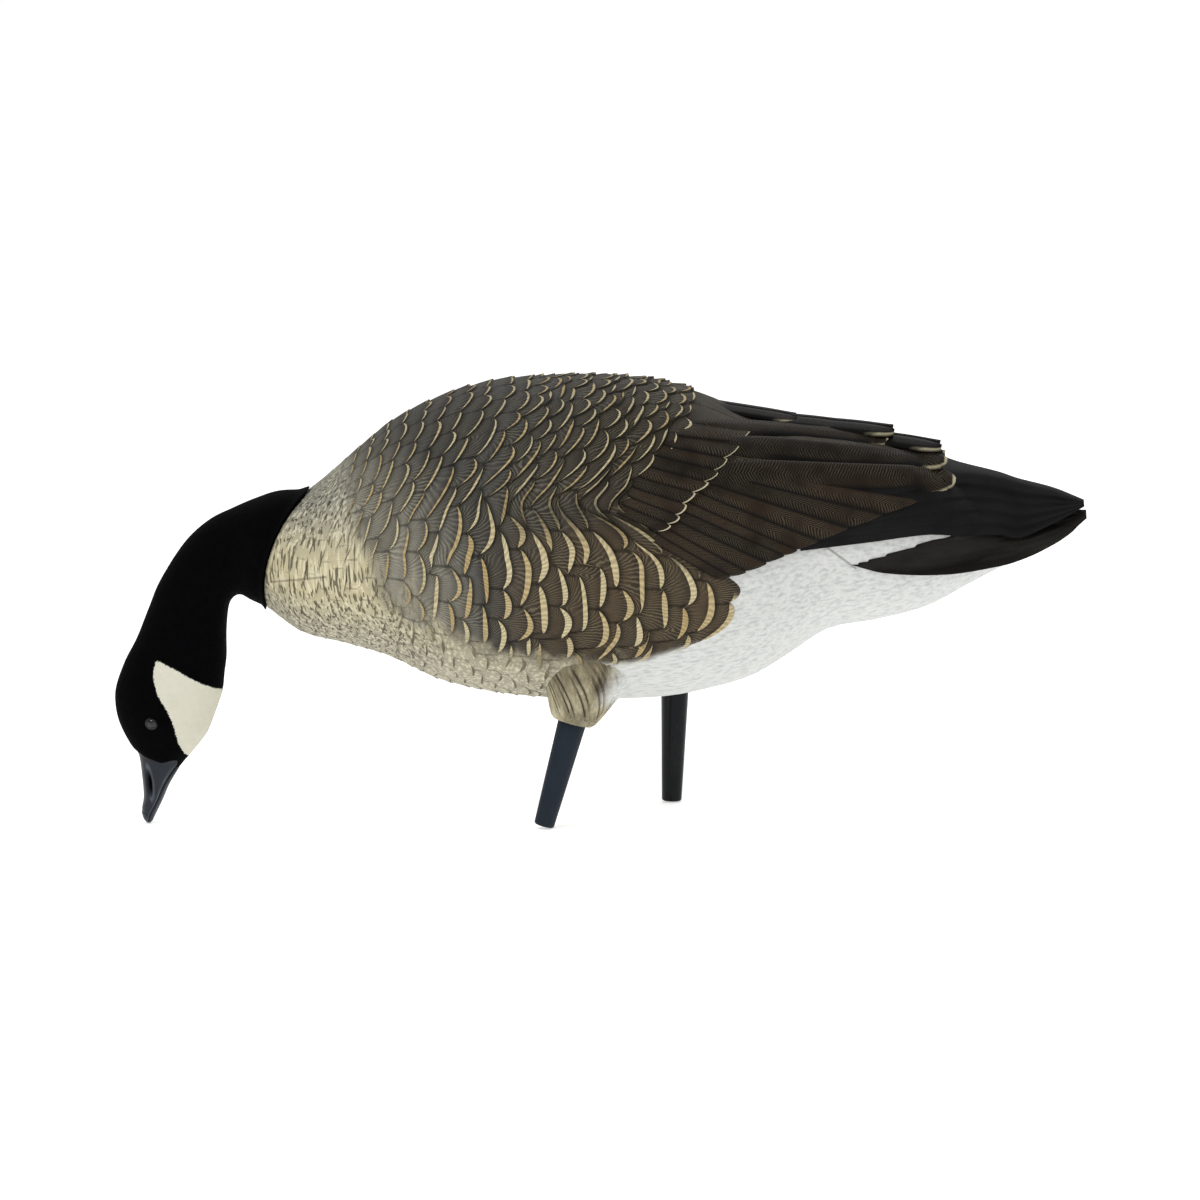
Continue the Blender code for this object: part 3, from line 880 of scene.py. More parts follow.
@dataclass(frozen=True)
class QuillPaint:
    """Dark matte paint on long feathers: fine slanting barbs, grooves darkened with painted shade and a pale
    edge at the tip.
    """

    name: str
    ground: Rgb
    # The dark colour, used both for uneven tone and for painted shade.
    shade: Rgb
    edge: Rgb = (206, 196, 164)
    grime: Rgb = (70, 64, 58)
    roughness: float = 0.6
    specular: float = 0.10
    vane_width: float = 0.020
    barb_slant: float = 0.8
    barb_pitch: float = 0.0024
    barb_groove_shade: float = 0.50
    barb_power: float = 2.0
    unevenness: float = 0.72
    glint: float = 0.12
    glint_power: float = 5.0
    clouds: Speckle = Speckle(26.0, 3.0, (0.5, 1.0, 1.6), 0.35, 0.70)
    patches: Speckle = Speckle(45.0, 2.0, EVEN, 0.25, 0.60)
    grain_scale: float = 380.0
    grain_strength: float = 0.3
    barb_relief: float = 0.8
    grain_relief: float = 0.4
    relief_depth: float = 0.0005
    relief_strength: float = 0.4

    def build(self) -> bpy.types.Material:
        """Draws the material.

        Returns:
            The material, which reads the marks feather (tip, side, tone) and edge (rim, painted shade and
            darkening, length).
        """
        tree = NodeTree(self.name)
        tip, side, tone = tree.marks("feather")
        rim, shade_and_darkening, length = tree.marks("edge")
        along = tree.times(tip, length)
        across = tree.times(tree.maths("ABSOLUTE", side), self.vane_width)
        run = tree.maths("SUBTRACT", along, tree.times(across, self.barb_slant))
        barbs = tree.lines(run, self.barb_pitch)
        grain = tree.noise(self.grain_scale, 4.0)
        clouds = tree.speckled(self.clouds)
        uneven = tree.times(tree.maths("MAXIMUM", tone, clouds), self.unevenness)
        colour = tree.mix(uneven, linear(self.ground), linear(self.shade))
        patches = tree.speckled(self.patches)
        # Painted shade in the grooves between the barbs.
        grooves = tree.maths("POWER", tree.rest(barbs), self.barb_power)
        grooves = tree.times(grooves, tree.times(patches, self.barb_groove_shade))
        colour = tree.mix(grooves, colour, linear(self.shade))
        glints = tree.times(tree.maths("POWER", barbs, self.glint_power), patches)
        colour = tree.mix(tree.times(glints, self.glint), colour, linear(self.edge))
        # Painted shade and darkening, as the mark says.
        colour = tree.mix(shade_and_darkening, colour, linear(self.shade))
        colour = tree.mix(tree.maths("MULTIPLY", rim, 1.0, clamp=True), colour, linear(self.edge))
        colour = tree.mix(tree.times(grain, self.grain_strength), colour, linear(self.grime), "MULTIPLY")
        tree.cover(colour, self.roughness, self.specular)
        carved = tree.times(barbs, self.barb_relief)
        relief = tree.maths("ADD", carved, tree.times(grain, self.grain_relief))
        tree.bump(relief, self.relief_depth, self.relief_strength)
        return tree.material


@dataclass(frozen=True)
class Flocking:
    """Short black fibres on the head and neck, with a cream patch where the mark says so."""

    name: str = "black_flocking"
    black: Rgb = (1, 1, 2)
    black_worn: Rgb = (9, 9, 10)
    cream: Rgb = (210, 208, 193)
    cream_worn: Rgb = (188, 183, 163)
    black_shade_and_highlight: float = 0.6
    cream_shade_and_highlight: float = 0.5
    fibre_scale: float = 900.0
    clump_scale: float = 170.0
    # How ragged the cheek patch's edge is, and how soft, in metres.
    ragged: float = 0.003
    soft: float = 0.0004
    roughness: float = 0.95
    specular: float = 0.03
    sheen: float = 0.01
    sheen_roughness: float = 0.5
    fibre_relief: float = 0.6
    relief_depth: float = 0.0012
    relief_strength: float = 0.6

    def build(self) -> bpy.types.Material:
        """Draws the material.

        Returns:
            The material, which reads the mark patch (how far inside the cheek patch, in metres).
        """
        tree = NodeTree(self.name)
        inside, _, _ = tree.marks("patch")
        fibres = tree.noise(self.fibre_scale, 5.0)
        clumps = tree.noise(self.clump_scale, 3.0)
        ragged = tree.times(tree.maths("SUBTRACT", fibres, 0.5), self.ragged)
        cheek = tree.step(tree.maths("ADD", inside, ragged), -self.soft, self.soft)
        black_worn = tree.times(clumps, self.black_shade_and_highlight)
        cream_worn = tree.times(clumps, self.cream_shade_and_highlight)
        black = tree.mix(black_worn, linear(self.black), linear(self.black_worn))
        cream = tree.mix(cream_worn, linear(self.cream), linear(self.cream_worn))
        tree.cover(tree.mix(cheek, black, cream), self.roughness, self.specular)
        tree.shader.inputs["Sheen Weight"].default_value = self.sheen
        tree.shader.inputs["Sheen Roughness"].default_value = self.sheen_roughness
        relief = tree.maths("ADD", tree.times(fibres, self.fibre_relief), clumps)
        tree.bump(relief, self.relief_depth, self.relief_strength)
        return tree.material


@dataclass(frozen=True)
class SatinPlastic:
    """Plain moulded plastic with faint mottling and fine scuffs."""

    name: str
    colour: Rgb
    worn: Rgb
    roughness: float
    specular: float = 0.35
    coat: float = 0.0
    # Whether the piece takes painted shade in its grooves and painted highlights on its ridges.
    marked: bool = False
    groove: Rgb = (2, 2, 3)
    ridge: Rgb = (104, 114, 124)
    mottle_scale: float = 60.0
    mottle: float = 0.8
    scuff_scale: float = 240.0
    scuff_stretch: Rgb = (1.0, 1.0, 0.12)
    # How much smoother and how much rougher than its roughness the scuffs leave the plastic.
    scuff_roughness: Pair = (0.08, 0.14)
    relief_depth: float = 0.0002
    relief_strength: float = 0.25

    def build(self) -> bpy.types.Material:
        """Draws the material.

        Returns:
            The material, which reads the mark of painted shade and highlight (groove, ridge) where the piece
            is marked.
        """
        tree = NodeTree(self.name)
        mottle = tree.times(tree.noise(self.mottle_scale, 4.0), self.mottle)
        scuffs = tree.noise(self.scuff_scale, 5.0, self.scuff_stretch)
        colour = tree.mix(mottle, linear(self.colour), linear(self.worn))
        shine: object = self.specular
        if self.marked:
            grooves, ridges, _ = tree.marks("shade_and_highlight")
            # Painted highlights on the ridges, broken up by the scuffs, and painted shade in the grooves.
            colour = tree.mix(tree.times(ridges, scuffs), colour, linear(self.ridge))
            colour = tree.mix(grooves, colour, linear(self.groove))
            shine = tree.maths("MULTIPLY_ADD", grooves, -self.specular, self.specular)
        smoother, rougher = self.scuff_roughness
        rough = tree.maths("MULTIPLY_ADD", scuffs, smoother + rougher, self.roughness - smoother)
        tree.cover(colour, rough, shine)
        tree.shader.inputs["Coat Weight"].default_value = self.coat
        tree.bump(scuffs, self.relief_depth, self.relief_strength)
        return tree.material


@dataclass
class Rings:
    """Rings of points round the body, from the neck back."""

    x: list[np.ndarray] = field(default_factory=list)
    heights: list[np.ndarray] = field(default_factory=list)
    feathers: list[np.ndarray] = field(default_factory=list)
    rims: list[np.ndarray] = field(default_factory=list)

    def add(self, x: np.ndarray, height: np.ndarray, feather: np.ndarray, rim: np.ndarray) -> None:
        """Adds a ring.

        Args:
            x: Its positions along the body.
            height: How far it stands off the body.
            feather: Its feather marks.
            rim: How wide the feathers' pale rims are on it, as a share of their length.
        """
        self.x.append(x)
        self.heights.append(height)
        self.feathers.append(feather)
        self.rims.append(rim)


@dataclass
class FeatheredShell:
    """The body's skin, with rows of overlapping feathers that run from the neck back to the rump."""

    form: BodyForm
    feathers_round: int = 26
    columns_per_feather: int = 13
    fractions: tuple[float, ...] = (0.0, 0.2, 0.45, 0.68, 0.84, 0.93, 1.0)
    step_run: float = 0.0004
    least_run: float = 0.0015
    mantle_slant: float = 0.080
    mantle_reach: float = 0.12
    first_row: float = -0.2310
    final_row: float = 0.0960
    feather_rows_along: int = 27
    # How fast the rows spread at the neck and at the rump, beside their mean.
    spread: Pair = (0.5, 1.3)
    flank_feather_gain: float = 0.40
    step_heights: Table = (
        (-0.2310, 0.0005),
        (-0.1950, 0.0010),
        (-0.1365, 0.0019),
        (-0.0515, 0.0024),
        (0.0960, 0.0029),
    )
    scallops: Table = (
        (-0.2310, 0.0030),
        (-0.1950, 0.0050),
        (-0.1365, 0.0085),
        (-0.0515, 0.0110),
        (0.0960, 0.0115),
    )
    last_row: Table = (
        (-1.0, -0.080),
        (-0.69, -0.046),
        (-0.45, -0.006),
        (-0.27, 0.0),
        (-0.07, -0.008),
        (0.04, -0.020),
        (0.15, -0.040),
        (0.32, -0.080),
        (0.45, -0.068),
        (0.62, -0.050),
        (0.87, -0.034),
        (1.0, -0.030),
    )
    # Position along the body and the level under which the breast and belly are buff.
    buff_line: Table = (
        (-0.2360, 1.60),
        (-0.2060, 1.15),
        (-0.1950, 0.75),
        (-0.1850, 0.35),
        (-0.1750, -0.02),
        (-0.1640, -0.34),
        (-0.1390, -0.53),
        (-0.1040, -0.60),
        (-0.0600, -0.66),
        (0.0110, -0.71),
        (0.1000, -0.80),
    )
    # Where the wing's lowest long feather starts, as a position along the body and a level, and its slope.
    wing_corner: Pair = (0.040, -0.06)
    wing_edge_slope: float = 5.4
    # How much further back the right thigh stands.
    thigh_stride: float = 0.066
    # How far the feathers wander round the body, and the waves they follow: turns, and shift from row to row.
    wander: float = 0.11
    wander_waves: tuple[Pair, Pair] = ((5.0, 2.3), (11.0, 4.1))
    # How the front edge of the white belly leans, how softly it starts, and its upper edge's level and rise.
    white_lean: float = 0.03
    white_start: Pair = (-0.010, 0.012)
    white_level: float = 0.66
    white_rise: tuple[float, float, float] = (0.12, 0.010, 0.080)
    white_fade: float = 0.06
    # How the last row's shape grows on the rows before it, and when the belly's stepped edge calms down.
    setback_power: float = 1.6
    calm_rows: tuple[float, float, float] = (0.85, 0.72, 1.0)
    arc_width: float = 1.9
    arc_middle: float = 0.35
    jitter: float = 0.75
    # Where the rump's feather marks are read.
    rump_tip: float = 0.3
    # How many fewer barbs a mantle feather has than one of the flank, as a share.
    mantle_barb_loss: float = 0.36
    rim_width: Pair = (0.0018, 0.0044)
    tilt: float = 0.9
    stagger: float = 0.85
    rump_rings: int = 26
    rump_end: float = 0.3082

    def angles(self) -> np.ndarray:
        """Angles round the body, the first one repeated at the end."""
        return np.linspace(0.0, 2 * math.pi, self.feathers_round * self.columns_per_feather + 1)

    def level(self) -> np.ndarray:
        """Height of each angle on the body, from -1 at the belly to 1 at the back."""
        return power(np.cos(self.angles()), 2 / self.form.roundness)

    def row_starts(self) -> np.ndarray:
        """Spaces the feather rows, which spread toward the rump.

        Returns:
            Positions along the body.
        """
        u = np.linspace(0.0, 1.0, self.feather_rows_along)
        early, late = self.spread
        reach = (u**3 - 2 * u**2 + u) * early + (3 - 2 * u) * u**2 + (u**3 - u**2) * late
        return self.first_row + (self.final_row - self.first_row) * reach

    def side_of_feather(self, row: int) -> tuple[np.ndarray, np.ndarray]:
        """Finds each column's place in its feather.

        Args:
            row: Number of the feather row.

        Returns:
            The place across the feather, from -0.5 to 0.5, and the feather's number round the body.
        """
        angles = self.angles()
        turns = angles / (2 * math.pi) * self.feathers_round + 0.5 + (row % 2) / 2
        turns += self.flank_feather_gain * np.sin(2 * angles)
        turns += self.wander * sum(np.sin(wave * angles + row * shift) for wave, shift in self.wander_waves)
        number = np.floor(turns + 1e-6)
        return turns - number - 0.5, number % self.feathers_round

    def whiteness(self, x: np.ndarray, level: np.ndarray) -> np.ndarray:
        """Finds how white the belly behind each thigh is.

        Args:
            x: Positions along the body.
            level: Heights on the body from -1 to 1.

        Returns:
            The whiteness of each place, from 0 to 1.
        """
        right = ramp(-np.sin(self.angles()), -0.3, 0.3)
        behind_thigh = x + self.white_lean * (1 + level) - self.thigh_stride * right
        rise, start, end = self.white_rise
        edge = self.white_level - rise * ramp(x, start, end)
        return ramp(behind_thigh, *self.white_start) * ramp(-level - edge, 0.0, self.white_fade)

    def under_wing(self, x: np.ndarray, level: np.ndarray) -> np.ndarray:
        """Finds which places are under the wing's long feathers.

        Args:
            x: Positions along the body.
            level: Heights on the body from -1 to 1.

        Returns:
            1 under the feathers and 0 elsewhere, with a soft edge.
        """
        corner_x, corner_level = self.wing_corner
        edge = corner_level - self.wing_edge_slope * (x - corner_x)
        back = 0.045 * ramp(level, 0.30, 0.60)
        return ramp(level - edge, 0.10, 0.18) * ramp(x - back, corner_x - 0.006, corner_x + 0.010)

    def chance(self, number: np.ndarray, row: int, chance: Chance) -> np.ndarray:
        """Draws a value from 0 to 1 for each feather of a row."""
        return scatter(number, np.full_like(number, row), chance)

    def tips(self, row: int) -> np.ndarray:
        """Finds the tips of one feather row.

        Args:
            row: Number of the feather row.

        Returns:
            Positions along the body.
        """
        start = float(self.row_starts()[row])
        setback = ((start - self.first_row) / (self.final_row - self.first_row)) ** self.setback_power
        level = self.level()
        side, number = self.side_of_feather(row)
        middle = np.cos(self.angles() - side * 2 * math.pi / self.feathers_round)
        middle = power(middle, 2 / self.form.roundness)
        calmed, start_calm, end_calm = self.calm_rows
        stepped = self.stagger * ramp(-level, -0.10, 0.10)
        stepped = stepped * (1 - calmed * ramp(setback, start_calm, end_calm))
        shape = read_curve(self.last_row, level + (middle - level) * stepped)
        reach = min(1.0, (start - self.form.table[0, 0]) / self.mantle_reach)
        mantle = self.mantle_slant * reach * np.maximum(0.0, level) * (1 - setback)
        x = start + mantle + setback * shape
        depth = read_curve(self.scallops, start)
        arc = np.sqrt(np.maximum(0.0, 1 - (self.arc_width * side) ** 2)) - self.arc_middle
        jitter = (self.chance(number, row, Chance.REACH) - 0.5) * self.jitter
        calm = 1 - self.whiteness(x, level)
        lean = (self.chance(number, row, Chance.LEAN) - 0.6) * self.tilt * side
        return x + depth * (arc + lean + jitter * (1 - 4 * side**2)) * calm

    def add_feathers(self, rings: Rings) -> None:
        """Adds every ring of the feather rows.

        Args:
            rings: The rings so far.
        """
        level = self.level()
        before = np.full_like(level, self.form.table[0, 0] + 0.0008)
        narrowed = 1 - self.mantle_barb_loss * ramp(level, 0.10, 0.40)
        for row, start in enumerate(self.row_starts()):
            tips = np.maximum(self.tips(row), before + self.least_run)
            side, number = self.side_of_feather(row)
            rise = read_curve(self.step_heights, start)
            lift = rise * (0.85 + 0.3 * self.chance(number, row, Chance.LIFT))
            buff = self.zones(tips, level)[0]
            tone = self.chance(number, row, Chance.TONE)
            flank = ramp(np.full_like(level, start), -0.17, -0.06) * ramp(0.45 - level, 0.1, 0.4)
            crown = 1 - (0.55 + 0.40 * np.maximum(buff, flank)) * (2 * np.abs(side)) ** 2.2
            on_mantle, on_flank = self.rim_width
            width = on_mantle + (on_flank - on_mantle) * flank
            width *= 0.8 + 0.4 * self.chance(number, row, Chance.RIM)
            width *= 1 - 0.6 * buff
            taper = np.sqrt(np.maximum(0.0, 1 - (side / (0.46 - 0.20 * buff)) ** 2))
            rim = width * taper * ramp(tips - before, 0.003, 0.009) / (tips - before)
            for f in self.fractions:
                x = before + (tips - before) * f
                calm = (1 - self.whiteness(x, level)) * (1 - 0.9 * self.under_wing(x, level))
                curl = (0.15 + 0.35 * flank) * math.exp(-(((f - 0.95) / 0.08) ** 2))
                blade = (1 - 0.45 * flank) * f ** (0.75 + 2.5 * buff)
                height = lift * crown * (blade + curl) * calm * (1 - 0.65 * buff)
                rings.add(x, height, together(f, side * narrowed, tone), rim)
            before = tips + self.step_run

    def zones(self, x: np.ndarray, level: np.ndarray) -> tuple[np.ndarray, ...]:
        """Weighs the paint zones over the body.

        Args:
            x: Positions along the body.
            level: Heights on the body from -1 to 1.

        Returns:
            How buff, how dark with painted shade, how slate and how strongly rimmed each place is.
        """
        blend = 0.22 + 0.60 * ramp(-x, 0.10, 0.17)
        buff = ramp((read_curve(self.buff_line, x) - level) / blend, -1.0, 1.0)
        dark = ramp(x + 0.06 * level, -0.09, 0.06) * ramp(level, -0.02, 0.30)
        # Greyer at the neck, and greyed with painted shade on the underside of the belly.
        grey_and_shade = ramp(level, -0.15, 0.75) * (1 - ramp(x, -0.19, -0.15)) + 0.7 * ramp(-level, 0.35, 0.85)
        # Painted shade in the valley where the flank feathers start under the mantle; the rims fade there
        # too.
        shaded_valley = ramp(x, -0.10, -0.04) * np.exp(-(((level - 0.27) / 0.13) ** 2))
        dark = np.maximum(np.maximum(dark, grey_and_shade), shaded_valley)
        slate = 1 - ramp(x - 0.05 * level, -0.12, 0.0) + 0.9 * (1 - ramp(x + 0.07 * level, -0.16, -0.07))
        strength = (1 - 0.8 * shaded_valley) * (1 - self.under_wing(x, level))
        return buff, dark, slate, strength

    def build(self, paint: bpy.types.Material) -> bpy.types.Object:
        """Builds the shell.

        Args:
            paint: The feather paint.

        Returns:
            The shell, in place of the CAD body.
        """
        level = self.level()
        plain = np.zeros_like(level)
        rings = Rings()
        rings.add(np.full_like(level, self.form.table[0, 0]), plain, together(plain, 0.0, 0.0), plain)
        self.add_feathers(rings)
        tips = rings.x[-1] + self.step_run
        feather = together(self.rump_tip, self.side_of_feather(0)[0], 1.0)
        for k in range(self.rump_rings + 1):
            g = k / self.rump_rings
            rings.add(tips * (1 - g) + self.rump_end * g, plain, feather, plain)
        x = np.array(rings.x)
        levels = np.broadcast_to(level, x.shape)
        points = self.form.surface(x, np.broadcast_to(self.angles(), x.shape), np.array(rings.heights))
        buff, dark, slate, strength = self.zones(x, levels)
        white = self.whiteness(x, levels)
        rump = slice(len(x) - self.rump_rings - 1, None)
        dark[rump] = 1.0
        slate[rump] = 0.0
        white[rump] = 1 - ramp(levels[rump], 0.10, 0.18)
        marks = {
            "feather": np.array(rings.feathers),
            "zone": together(buff, dark, white),
            "edge": together(np.array(rings.rims), slate, strength),
        }
        shell = Skin("feathered_shell", Slot.SHELL, paint).wrap(points, marks)
        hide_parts("body")
        return shell


@dataclass(frozen=True)
class Quill:
    """One long feather of a wing, in the side view."""

    root: Pair
    middle: Pair
    tip: Pair
    least_depth: float
    half_width: float
    thickness: float
    # How far the whole feather is darkened.
    shade_and_darkening: float


@dataclass(frozen=True)
class Panel:
    """A row of long feathers laid side by side on the wing, from the lowest one up, in the side view."""

    name: str
    roots: Table
    tips: Table
    feathers: int
    lift: float
    step: float
    bulge: float
    rim: float


@dataclass
class FoldedWing:
    """The long feathers that lie along one side of the back."""

    form: BodyForm
    side: Side
    ridge_depth: float = 0.015
    columns: int = 20
    rows: int = 34
    panel_columns: int = 12
    burial: float = 0.008
    quills: tuple[Quill, ...] = (
        Quill((0.062, 0.276), (0.170, 0.2675), (0.270, 0.262), 0.034, 0.0140, 0.0074, 0.18),
        Quill((0.074, 0.296), (0.172, 0.2835), (0.264, 0.276), 0.022, 0.0130, 0.0066, 0.30),
        Quill((0.062, 0.308), (0.150, 0.2985), (0.219, 0.290), 0.018, 0.0120, 0.0064, 0.50),
        Quill((0.095, 0.296), (0.180, 0.294), (0.260, 0.285), 0.0136, 0.0105, 0.0060, 0.95),
        Quill((0.080, 0.305), (0.150, 0.303), (0.224, 0.297), 0.0136, 0.0105, 0.0060, 0.95),
        Quill((0.060, 0.314), (0.120, 0.308), (0.186, 0.302), 0.0136, 0.0105, 0.0050, 0.90),
        Quill((0.030, 0.325), (0.090, 0.316), (0.150, 0.307), 0.0136, 0.0100, 0.0045, 0.80),
    )
    panels: tuple[Panel, ...] = (
        Panel(
            name="secondaries",
            roots=((0.028, 0.233), (0.036, 0.246), (0.048, 0.259), (0.064, 0.272), (0.078, 0.283)),
            tips=(
                (0.088, 0.1965),
                (0.1076, 0.2010),
                (0.1347, 0.2115),
                (0.1541, 0.2190),
                (0.1930, 0.2335),
                (0.2440, 0.2500),
            ),
            feathers=9,
            lift=0.0030,
            step=0.0020,
            bulge=0.0020,
            rim=0.0,
        ),
        Panel(
            name="greater_coverts",
            roots=(
                (0.004, 0.251),
                (0.012, 0.262),
                (0.018, 0.2735),
                (0.030, 0.2865),
                (0.040, 0.299),
                (0.050, 0.3105),
            ),
            tips=(
                (0.046, 0.233),
                (0.058, 0.244),
                (0.068, 0.259),
                (0.084, 0.2725),
                (0.097, 0.287),
                (0.116, 0.305),
            ),
            feathers=9,
            lift=0.0056,
            step=0.0018,
            bulge=0.0040,
            rim=0.0011,
        ),
    )

    def path(self, quill: Quill, f: np.ndarray) -> tuple[np.ndarray, np.ndarray]:
        """Follows a feather from root to tip.

        Args:
            quill: The feather.
            f: Fractions of its length.

        Returns:
            Points on its middle line, and its direction at each.
        """
        a, b, c = (np.array(p) for p in (quill.root, quill.middle, quill.tip))
        f = f[:, None]
        flat = a * (1 - f) * (1 - 2 * f) + b * 4 * f * (1 - f) + c * f * (2 * f - 1)
        depth = np.full(len(flat), quill.least_depth)
        if quill.least_depth > self.ridge_depth:
            depth = np.maximum(depth, self.surface_depth(flat[:, 0], flat[:, 1]))
        points = np.stack([flat[:, 0], self.side.value * depth, flat[:, 1]], axis=1)
        along = np.gradient(points, axis=0)
        return points, along / np.linalg.norm(along, axis=1)[:, None]

    def grid(self, quill: Quill, number: int) -> tuple[np.ndarray, dict[str, np.ndarray]]:
        """Lays out one feather as a flattened tube that is sunk into the body.

        Args:
            quill: The feather.
            number: Its number, for its tone.

        Returns:
            The grid of points and its marks.
        """
        f = np.append(np.linspace(0.0, 0.92, self.rows - 10), np.linspace(0.93, 1.0, 10))
        points, along = self.path(quill, f)
        stations = self.form.stations(points[:, 0])
        centre_z = (stations[:, 1] + stations[:, 3]) / 2
        above = np.maximum(0.0, points[:, 2] - centre_z) * 0.8
        out = np.stack([np.zeros_like(f), points[:, 1], above], axis=1)
        out -= along * (out * along).sum(axis=1)[:, None]
        out /= np.linalg.norm(out, axis=1)[:, None]
        across = np.cross(along, out) * -self.side.value
        rounded = np.sqrt(np.maximum(0.0, 1 - np.clip((f - 0.84) / 0.16, 0, 1) ** 2.4))
        wide = quill.half_width * (0.6 + 0.4 * ramp(f, 0.0, 0.3)) * np.maximum(rounded, 0.08)
        turn = np.linspace(0.0, 2 * math.pi, self.columns + 1)
        c = np.cos(turn)[None, :]
        s = np.sin(turn)[None, :]
        rise = (quill.thickness * (1 - 0.2 * f - 0.1 * ramp(f, 0.8, 1.0)))[:, None]
        sunk = 0.003 + 0.003 * (1 - ramp(f, 0.0, 0.12))[:, None]
        up = np.where(s > 0, np.abs(s) ** 0.5 * rise - sunk, -sunk - np.abs(s) * 0.004 * (1.2 - f)[:, None])
        shaft = 0.0006 * np.exp(-((c / 0.10) ** 2)) * (s > 0)
        grid = (
            points[:, None, :]
            + across[:, None, :] * (wide[:, None] * c)[..., None]
            + out[:, None, :] * (up + shaft)[..., None]
        )
        place = np.broadcast_to(f[:, None], (self.rows, self.columns + 1))
        side = np.broadcast_to(c * 0.5, place.shape)
        tone = scatter(np.array(float(number)), 7.0, Chance.QUILL_TONE)
        near_tip = ramp(place, 0.986, 0.994) * (quill.least_depth > self.ridge_depth)
        edge_line = ramp(side, 0.46, 0.485) * ramp(place, 0.86, 0.92)
        rim = np.maximum(near_tip, edge_line) * (s > 0.05)
        # Painted shadow: a dark band along one edge of each feather, standing for the deep shadow below it,
        # and painted shade near its root.
        wave = 0.05 * np.sin(9.0 * place + 2.0 * number)
        shadow_band = ramp(side + wave, 0.17, 0.23) * ramp(place, 0.15, 0.35) * (1 - ramp(place, 0.84, 0.90))
        shade_and_darkening = np.maximum(np.maximum(quill.shade_and_darkening, ramp(-place, -0.15, 0.0)), shadow_band)
        length = np.linalg.norm(points[-1] - points[0])
        return grid, {"feather": together(place, side, tone), "edge": together(rim, shade_and_darkening, length)}

    def surface_depth(self, x: np.ndarray, z: np.ndarray) -> np.ndarray:
        """Finds how far from the middle plane the body or the folded primaries reach.

        Args:
            x: Positions along the body.
            z: Heights.

        Returns:
            The depths.
        """
        low_z, low_depth, high_z, high_depth, _ = smooth_curve(np.array(PRIMARY_STATIONS), x.ravel()).T
        f = np.clip((z.ravel() - low_z) / (high_z - low_z), 0.0, 1.0)
        started = x.ravel() > PRIMARY_STATIONS[0][0]
        roof = np.where(started, low_depth + (high_depth - low_depth) * f, 0.0)
        roof *= 1 - ramp(z.ravel() - high_z, 0.006, 0.020)
        return np.maximum(self.form.half_width(x, z), roof.reshape(x.shape))

    def panel_grid(self, panel: Panel) -> tuple[np.ndarray, dict[str, np.ndarray]]:
        """Lays out one panel: its outer surface from the lowest feather up, then back along its underside.

        Args:
            panel: The panel.

        Returns:
            The grid of points and its marks.
        """
        count = panel.feathers * self.panel_columns + 1
        v = np.linspace(0.0, 1.0, count)
        place = v * panel.feathers
        number = np.minimum(np.floor(place + 1e-6), panel.feathers - 1)
        local = place - number
        side = local - 0.5
        edges = []
        for corners in (panel.roots, panel.tips):
            table = np.column_stack([np.linspace(0.0, 1.0, len(corners)), np.array(corners)])
            edges.append(smooth_curve(table, v))
        roots, tips = edges
        along = tips - roots
        length = np.linalg.norm(along, axis=1)
        arc = np.sqrt(np.maximum(0.0, 1 - (1.9 * side) ** 2)) - 0.5
        arc = arc + 0.3 * (scatter(number, number, Chance.BULGE) - 0.5)
        tips = tips + along / length[:, None] * (panel.bulge * (arc + 0.7 * side))[:, None]
        u = np.append(np.linspace(0.0, 0.94, self.rows - 6), np.linspace(0.95, 1.0, 6))[:, None]
        x = roots[:, 0] + (tips[:, 0] - roots[:, 0]) * u
        z = roots[:, 1] + (tips[:, 1] - roots[:, 1]) * u
        shingle = panel.step * ((1 - local) ** 0.7 - 0.35 * np.exp(-((local / 0.08) ** 2)))
        tucked = 0.35 + 0.65 * ramp(v, 0.0, 0.35)
        lift = panel.lift * ramp(u, 0.05, 0.4) * tucked + shingle * ramp(u, 0.0, 0.3)
        lift -= 0.0025 * (1 - ramp(u, 0.0, 0.25)) + 0.0006 * ramp(u, 0.97, 1.0)
        sunk = self.surface_depth(x, z) - self.burial
        outer = np.stack([x, self.side.value * (sunk + self.burial + lift), z], axis=-1)
        inner = np.stack([x, self.side.value * sunk, z], axis=-1)[:, ::-1]
        grid = np.concatenate([outer, inner, outer[:, :1]], axis=1)
        grid = np.concatenate([grid, np.concatenate([inner[-1, ::-1], inner[-1], inner[-1, -1:]])[None]])
        rim_start = 1 - panel.rim / length * ramp(0.47 - np.abs(side), 0.0, 0.05)
        rim = (u > rim_start - 1e-6) * (panel.rim > 0) * 1.0
        # Painted shade in the grooves between neighbouring feathers.
        groove = np.exp(-((local / 0.15) ** 2)) + np.exp(-(((1 - local) / 0.08) ** 2))
        shade_and_darkening = np.clip(groove * 0.95, 0.0, 1.0)
        tone = scatter(number, number * 0.5, Chance.ROW_TONE)
        marks = {"feather": together(u, side, tone), "edge": together(rim, shade_and_darkening, length)}
        for name, values in marks.items():
            wrapped = np.concatenate([values, values[:, ::-1], values[:, :1]], axis=1)
            marks[name] = np.concatenate([wrapped, wrapped[-1:]])
        return grid, marks

    def build(self, paint: bpy.types.Material) -> None:
        """Builds the wing's panels and long feathers, each a piece of its own.

        Args:
            paint: The wing's paint.
        """
        word = self.side.name.lower()
        for panel in self.panels:
            grid, marks = self.panel_grid(panel)
            Skin(f"{word}_{panel.name}", Slot.SHELL, paint).wrap(grid, marks)
        for number, quill in enumerate(self.quills):
            grid, marks = self.grid(quill, number)
            Skin(f"{word}_wing_feather_{number + 1}", Slot.SHELL, paint).wrap(grid, marks)


